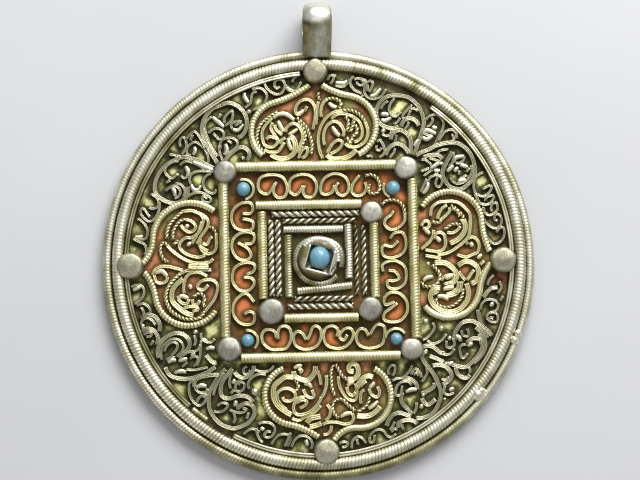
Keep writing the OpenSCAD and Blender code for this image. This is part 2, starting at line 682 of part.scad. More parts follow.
// All ribbons of one field of scrolls
module scrolls(curls, stems, leaves) {
    for (c = curls)
        curl(c);
    for (s = stems)
        stem(s, ribbon_w);
    for (l = leaves)
        leaf(l);
}

// Heading of a half lobe where its ogee begins, and the turn that takes it to the cusp
function lobe_end(h) = [h[0] + h[2] * cos(h[4]), h[1] + h[2] * sin(h[4])];
function lobe_way(h) = h[4] > h[3] ? 1 : -1;
function lobe_heading(h) = h[4] + 90 * lobe_way(h);
function wrapped(a) = a > 180 ? wrapped(a - 360) : a < -180 ? wrapped(a + 360) : a;
function ogee_turn(h) =
    let (e = lobe_end(h))
    wrapped(atan2(h[6] - e[1], h[5] - e[0]) - lobe_heading(h));
function ogee_radius(h) =
    let (e = lobe_end(h))
    norm([h[5] - e[0], h[6] - e[1]]) / (2 * sin(abs(ogee_turn(h))));
// The ogee's arc bends the other way, so its centre is outside the lobe
function ogee_centre(h) =
    let (e = lobe_end(h), r = ogee_radius(h))
    [e[0] + r * cos(h[4]), e[1] + r * sin(h[4])];

// Points along a half lobe, moved outward by shift
function lobe_points(h, shift) =
    let (c = ogee_centre(h), r = ogee_radius(h) - shift, turn = 2 * ogee_turn(h))
    concat(
        arc_points(h[0], h[1], h[2] + shift, h[2] + shift, h[3], h[4], lobe_step),
        arc_points(c[0], c[1], r, r, h[4] + 180, h[4] + 180 + turn, ogee_step));

// The inside of a lobe pair with its outline moved outward by shift. Its feet run in to
// the centre of the pendant, under the square.
module lobe_area(pair, shift, height) {
    linear_extrude(height = height)
        polygon(concat(
            lobe_points(pair[0], shift), backwards(lobe_points(pair[1], shift)), [[0, 0]]));
}

// The wire round half a lobe, its round section built up from the layers in wire_layers
module half_lobe_wire(h) {
    for (layer = wire_layers)
        translate([0, 0, layer[0] * lobe_wire_d])
            linear_extrude(height = (layer[1] - layer[0]) * lobe_wire_d)
                polygon(concat(
                    lobe_points(h, layer[2] * lobe_wire_d / 2),
                    backwards(lobe_points(h, -layer[2] * lobe_wire_d / 2))));
}

module lobe_wires(pair, dome) {
    color("darkkhaki")
        difference() {
            translate([0, 0, on_copper])
                for (h = pair)
                    half_lobe_wire(h);
            dome_room(dome);
        }
}

// A straight round bar. Its row holds middle x, middle y, length and turn
module bar(x, y, length, turn, d) {
    translate([x, y, on_copper + d / 2])
        rotate([0, 0, turn])
            rotate([0, 90, 0])
                cylinder(d = d, h = length, center = true);
}

module bars_of(rows, name, d) {
    for (b = rows)
        if (b[0] == name)
            bar(b[1], b[2], b[3], b[4], d);
}

module ropes(rows) {
    color("silver")
        for (r = rows)
            bar(r[0], r[1], r[2], r[3], rope_d);
}

// A flattened ball: a drum with a rounded cap
module dome(d, foot) {
    cap_r = (d[2] * d[2] + dome_cap * dome_cap) / (2 * dome_cap);
    color("lightgray")
        translate([d[0], d[1], 0])
            intersection() {
                translate([0, 0, foot])
                    cylinder(r = d[2], h = dome_top - foot, $fn = dome_fn);
                translate([0, 0, dome_top - cap_r])
                    sphere(r = cap_r, $fn = dome_fn);
            }
}

// The room that a dome takes, with the seam round it
module dome_room(d) {
    translate([d[0], d[1], 0])
        cylinder(r = d[2] + seam, h = dome_top + past);
}

// A dome on the rim, hollowed where it rides over the inner wound wire and the strip
module rim_dome(d) {
    strip_top = on_plate + strip_h + seam;
    color("lightgray")
        difference() {
            dome(d, on_plate);
            translate([0, 0, on_plate + inner_wire_d / 2])
                ring_wire(inner_wire_r, inner_wire_d + 2 * seam);
            difference() {
                cylinder(r = inner_wire_r, h = on_plate + inner_wire_d / 2, $fn = ring_fn);
                translate([0, 0, -past])
                    cylinder(r = strip_in - seam, h = strip_top + 2 * past, $fn = ring_fn);
            }
            difference() {
                cylinder(r = disc_r, h = strip_top, $fn = ring_fn);
                translate([0, 0, -past])
                    cylinder(r = strip_in - seam, h = strip_top + 2 * past, $fn = ring_fn);
            }
        }
}

module ring_wire(r, d) {
    rotate_extrude($fn = ring_fn)
        translate([r, 0])
            circle(d = d, $fn = wire_fn);
}

module outer_bar(name) {
    color("darkkhaki")
        bars_of(outer_bars, name, outer_bar_d);
}

module inner_bar(name) {
    color("darkkhaki")
        bars_of(inner_bars, name, inner_bar_d);
}

module silver_bar(name) {
    color("silver")
        bars_of(silver_bars, name, silver_bar_d);
}

module back_plate() {
    color("darkgoldenrod")
        cylinder(r = plate_r, h = plate_t, $fn = ring_fn);
}

module square_sheet() {
    color("peru")
        difference() {
            translate([0, 0, on_plate])
                square_room(-sheet_inset, copper_t);
            for (d = outer_domes)
                dome_room(d);
        }
}

module rim_outer_wire() {
    color("silver")
        translate([0, 0, on_plate + outer_wire_d / 2])
            ring_wire(outer_wire_r, outer_wire_d);
}

module rim_inner_wire() {
    color("silver")
        translate([0, 0, on_plate + inner_wire_d / 2])
            ring_wire(inner_wire_r, inner_wire_d);
}

module rim_strip() {
    color("gainsboro")
        translate([0, 0, on_plate])
            for (s = strips)
                rotate([0, 0, s[0]])
                    rotate_extrude(angle = s[1] - s[0])
                        translate([strip_in, 0])
                            square([strip_t, strip_h]);
}

// The bail is a band bent round the eye, which runs down onto the outer rim wire.
// Its outer side is rounded across the band.
module bail() {
    eye_y = disc_r + eye_reach;
    steps = 6;
    band = concat(
        [[bail_w / 2, eye_r], [-bail_w / 2, eye_r]],
        [for (i = [0:steps])
            let (u = 2 * i / steps - 1)
            [bail_w / 2 * u, bail_r - edge_drop * u * u]]);
    // Side view of the foot, seen from the eye: its tip, and where its top meets the band
    tip_y = -foot_reach - eye_reach;
    tip_low = on_plate + outer_wire_d + seam - bail_r;
    tip_high = tip_low + foot_t;
    band_r = bail_r - edge_drop;
    meet = atan2(tip_high, tip_y) - acos(band_r / norm([tip_y, tip_high]));
    color("silver")
        translate([bail_x, eye_y, bail_r])
            rotate([0, 90, 0])
                difference() {
                    union() {
                        rotate_extrude($fn = dome_fn)
                            polygon([for (p = band) [p[1], p[0]]]);
                        translate([0, 0, -bail_w / 2])
                            linear_extrude(bail_w)
                                polygon([
                                    [-tip_low, tip_y], [-tip_high, tip_y],
                                    [-band_r * sin(meet), band_r * cos(meet)],
                                    [0, 0], [-tip_low, 0]]);
                    }
                    cylinder(r = eye_r, h = bail_w + 2 * past, center = true, $fn = dome_fn);
                }
}

module bezel() {
    wall_z = on_copper + wall_h;
    color("silver")
        translate([bezel_at[0], bezel_at[1], 0])
            difference() {
                rotate_extrude($fn = dome_fn)
                    polygon([
                        [0, on_copper], [bezel_r, on_copper], [bezel_r, wall_z],
                        [bezel_r - shoulder, wall_z + shoulder], [lip_r, bezel_top], [0, bezel_top]]);
                translate([stone_at[0] - bezel_at[0], stone_at[1] - bezel_at[1], 0])
                    rotate([0, 0, hole_turn])
                        translate([-hole_w / 2, -hole_w / 2, 0])
                            cube([hole_w, hole_w, bezel_top + past]);
            }
}

module stone(b) {
    color("turquoise")
        translate([b[0], b[1], on_copper + b[2]])
            sphere(r = b[2]);
}

module bead_wires() {
    color("goldenrod")
        difference() {
            translate([0, 0, on_copper])
                for (c = bead_loops)
                    curl(c);
            for (d = outer_domes)
                dome_room(d);
        }
}

module hearts(places, turn) {
    color("goldenrod")
        for (p = places)
            translate([p[0], p[1], on_copper])
                rotate([0, 0, turn])
                    for (c = heart_curls)
                        curl(c);
}

// The room that the square takes, out to its bars' outer sides and this much further
module square_room(more, height) {
    left = outer_bars[1][1] - outer_bar_d / 2 - more;
    right = outer_bars[2][1] + outer_bar_d / 2 + more;
    low = outer_bars[3][2] - outer_bar_d / 2 - more;
    high = outer_bars[0][2] + outer_bar_d / 2 + more;
    translate([left, low, 0])
        cube([right - left, high - low, height]);
}

// A lobe: its copper sheet, which also runs under the wire, and the brass scrolls on it
module brass_panel(pair, dome, curls, stems, leaves) {
    color("goldenrod")
        difference() {
            union() {
                translate([0, 0, on_plate])
                    lobe_area(pair, lobe_wire_d / 2, copper_t);
                intersection() {
                    translate([0, 0, on_plate + copper_t / 2])
                        scrolls(curls, stems, leaves);
                    lobe_area(pair, -lobe_wire_d / 2 - seam, dome_top);
                }
            }
            square_room(seam, dome_top);
            dome_room(dome);
        }
}

// A field between the lobes, the square and the rim: a thin sheet and the silver scrolls
// on it. The side says which quarter: -1 or 1 along X, then along Y.
module silver_panel(side, curls, stems, leaves) {
    color("silver")
        difference() {
            intersection() {
                union() {
                    translate([0, 0, on_plate])
                        cylinder(r = disc_r, h = copper_t);
                    translate([0, 0, on_plate + copper_t / 2])
                        scrolls(curls, stems, leaves);
                }
                cylinder(r = strip_in - seam, h = dome_top, $fn = ring_fn);
                translate([side[0] < 0 ? -disc_r : 0, side[1] < 0 ? -disc_r : 0, 0])
                    cube([disc_r, disc_r, dome_top]);
            }
            square_room(seam, dome_top);
            for (pair = [lobe_top, lobe_left, lobe_right, lobe_bottom])
                lobe_area(pair, lobe_wire_d / 2 + seam, dome_top);
            for (d = concat(outer_domes, rim_domes))
                dome_room(d);
        }
}

back_plate();
square_sheet();
rim_outer_wire();
rim_inner_wire();
rim_strip();
bail();
rim_dome(rim_dome_top_at);  // rim_dome_top
rim_dome(rim_dome_left_at);  // rim_dome_left
rim_dome(rim_dome_right_at);  // rim_dome_right
rim_dome(rim_dome_bottom_at);  // rim_dome_bottom
outer_bar("top");  // outer_bar_top
outer_bar("left");  // outer_bar_left
outer_bar("right");  // outer_bar_right
outer_bar("bottom");  // outer_bar_bottom
dome(outer_dome_tl_at, on_plate);  // outer_dome_tl
dome(outer_dome_tr_at, on_plate);  // outer_dome_tr
dome(outer_dome_bl_at, on_plate);  // outer_dome_bl
dome(outer_dome_br_at, on_plate);  // outer_dome_br
inner_bar("top");  // inner_bar_top
inner_bar("left");  // inner_bar_left
inner_bar("right");  // inner_bar_right
inner_bar("bottom");  // inner_bar_bottom
dome(inner_dome_tr_at, on_copper);  // inner_dome_tr
dome(inner_dome_bl_at, on_copper);  // inner_dome_bl
dome(inner_dome_br_at, on_copper);  // inner_dome_br
ropes(ropes_top);  // ropes_pair_top
ropes(ropes_left);  // ropes_pair_left
ropes(ropes_right);  // ropes_pair_right
ropes(ropes_bottom);  // ropes_pair_bottom
silver_bar("top");  // silver_bar_top
silver_bar("left");  // silver_bar_left
silver_bar("right");  // silver_bar_right
silver_bar("bottom");  // silver_bar_bottom
bezel();
stone(concat(stone_at, [centre_stone_d / 2]));  // centre_stone
stone(bead_tl_at);  // bead_tl
stone(bead_tr_at);  // bead_tr
stone(bead_bl_at);  // bead_bl
stone(bead_br_at);  // bead_br
bead_wires();
hearts(hearts_top, 0);  // hearts_row_top
hearts(hearts_left, 90);  // hearts_row_left
hearts(hearts_right, -90);  // hearts_row_right
hearts(hearts_bottom, 180);  // hearts_row_bottom
lobe_wires(lobe_top, rim_dome_top_at);  // lobe_wire_top
lobe_wires(lobe_left, rim_dome_left_at);  // lobe_wire_left
lobe_wires(lobe_right, rim_dome_right_at);  // lobe_wire_right
lobe_wires(lobe_bottom, rim_dome_bottom_at);  // lobe_wire_bottom
brass_panel(lobe_top, rim_dome_top_at, top_curls, top_stems, top_leaves);  // brass_panel_top
brass_panel(lobe_left, rim_dome_left_at, left_curls, left_stems, left_leaves);  // brass_panel_left
brass_panel(lobe_right, rim_dome_right_at, right_curls, right_stems, right_leaves);  // brass_panel_right
brass_panel(lobe_bottom, rim_dome_bottom_at, bottom_curls, bottom_stems, bottom_leaves);  // brass_panel_bottom
silver_panel([-1, 1], tl_curls, tl_stems, tl_leaves);  // silver_panel_tl
silver_panel([1, 1], tr_curls, tr_stems, tr_leaves);  // silver_panel_tr
silver_panel([-1, -1], bl_curls, bl_stems, bl_leaves);  // silver_panel_bl
silver_panel([1, -1], br_curls, br_stems, br_leaves);  // silver_panel_br
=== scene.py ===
# The looks of a round folk pendant: wound wires, twisted ropes, filigree scrolls on edge,
# hammered domes, turquoise beads, and the tarnish and rubbed places of each metal.
import math

import bpy
import numpy as np
from mathutils import Matrix, Vector

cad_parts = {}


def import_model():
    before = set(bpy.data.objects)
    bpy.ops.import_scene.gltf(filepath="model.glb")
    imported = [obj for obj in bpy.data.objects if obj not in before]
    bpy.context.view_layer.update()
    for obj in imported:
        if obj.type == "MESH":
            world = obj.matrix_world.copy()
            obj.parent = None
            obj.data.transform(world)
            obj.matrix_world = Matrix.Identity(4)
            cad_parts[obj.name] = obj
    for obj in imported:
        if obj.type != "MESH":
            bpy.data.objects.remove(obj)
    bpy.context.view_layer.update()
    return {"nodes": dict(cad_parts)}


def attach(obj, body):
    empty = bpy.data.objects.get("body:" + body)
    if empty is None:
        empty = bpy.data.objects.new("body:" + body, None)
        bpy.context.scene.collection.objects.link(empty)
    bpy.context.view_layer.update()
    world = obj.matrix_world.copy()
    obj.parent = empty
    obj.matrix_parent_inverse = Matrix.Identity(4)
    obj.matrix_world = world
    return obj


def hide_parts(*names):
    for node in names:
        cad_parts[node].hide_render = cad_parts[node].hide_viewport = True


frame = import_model()

# Everything below is in millimetres, in the part's own frame. Meshes are scaled by MM.
MM = 0.001
RNG = np.random.default_rng(7)

# Sizes that the part's source names
DISC_R = 32.5
PLATE_T = 0.9
SHEET_T = 0.15
SEAM = 0.04
OUTER_WIRE_D = 1.36
INNER_WIRE_D = 1.8
STRIP_T = 0.7
STRIP_H = 1.35
OUTER_BAR_D = 1.65
INNER_BAR_D = 1.5
SILVER_BAR_D = 1.2
ROPE_D = 1.0
DOME_TOP = 3.5
SCROLL_H = 1.1
LOBE_WIRE_D = 1.05
ON_PLATE = PLATE_T + SEAM
ON_SHEET = ON_PLATE + SHEET_T + SEAM
OUTER_WIRE_R = DISC_R - OUTER_WIRE_D / 2
INNER_WIRE_R = DISC_R - OUTER_WIRE_D - SEAM - INNER_WIRE_D / 2
STRIP_OUT = INNER_WIRE_R - INNER_WIRE_D / 2 - SEAM
STRIP_IN = STRIP_OUT - STRIP_T
SCROLL_FOOT = ON_PLATE + SHEET_T / 2
SCROLL_TOP = SCROLL_FOOT + SCROLL_H

SIDES = ("top", "left", "right", "bottom")
CORNERS = ("tl", "tr", "bl", "br")

# Bars. Columns: middle x, middle y, length, turn
OUTER_BARS = {
    "top": (-0.25, 14.7, 23.6, 0),
    "left": (-14.2, 0.6, 22.8, 90),
    "right": (14.3, 0.35, 23.6, 90),
    "bottom": (-0.05, -14.2, 23.3, 0),
}
INNER_BARS = {
    "top": (-1.45, 8.8, 15.5, 0),
    "left": (-8.5, 1.2, 12.8, 90),
    "right": (8.35, 0.2, 10.9, 90),
    "bottom": (0.15, -8.35, 10.7, 0),
}
SILVER_BARS = {
    "top": (-0.8, 5.05, 9, 0),
    "left": (-4.6, -0.5, 9.4, 90),
    "right": (4.45, 1.6, 8.2, 90),
    "bottom": (0.75, -3.88, 8.3, 5),
}
# Twisted ropes, two a side, with the same columns and the hand of the twist
ROPES = {
    "top": ((-0.4, 7.45, 13.2, 0, 1), (0.15, 6.35, 11.1, 0, -1)),
    "left": ((-7.2, 0.75, 11.5, 90, 1), (-6.1, 0.75, 11.5, 90, 1)),
    "right": ((5.6, 0.25, 10.5, 90, 1), (6.8, 0.25, 10.5, 90, 1)),
    "bottom": ((0.6, -5.45, 8.8, 0, -1), (0.1, -6.6, 9.9, 0, 1)),
}
# Domes. Columns: x, y, radius
OUTER_DOMES = {
    "tl": (-13.9, 13.9, 1.75),
    "tr": (13.4, 14.1, 1.75),
    "bl": (-13.7, -12.8, 1.85),
    "br": (13.55, -13.35, 1.7),
}
INNER_DOMES = {
    "tr": (8.05, 7.4, 1.65),
    "bl": (-7.3, -7.3, 1.95),
    "br": (7.5, -7.2, 1.8),
}
RIM_DOMES = {
    "top": (0, 29.2, 1.85),
    "left": (-28.3, -0.1, 2.0),
    "right": (27.7, -0.2, 1.95),
    "bottom": (0.5, -28.3, 1.9),
}
# Corner beads. Columns: x, y, radius
BEADS = {
    "tl": (-11.2, 11.3, 1.1),
    "tr": (11.4, 11.1, 1.1),
    "bl": (-10.95, -11.55, 1.0),
    "br": (11.3, -11.75, 0.95),
}
# Middle of the bezel, the stone's x, y and radius, and the middle, width and turn of the square hole
BEZEL_AT = (-0.15, 0.5)
STONE_AT = (0.05, 0.6, 1.6)
HOLE_AT = (0.08, 0.35)
HOLE_W = 3.6
HOLE_TURN = -16
# Middle of the bail's band along X, its half width and radius, and the middle and radius of its eye
BAIL_X = 0.4
BAIL_HALF = 2.2
BAIL_R = 3.2
EYE_Y = DISC_R + 4.3
EYE_R = 2.46

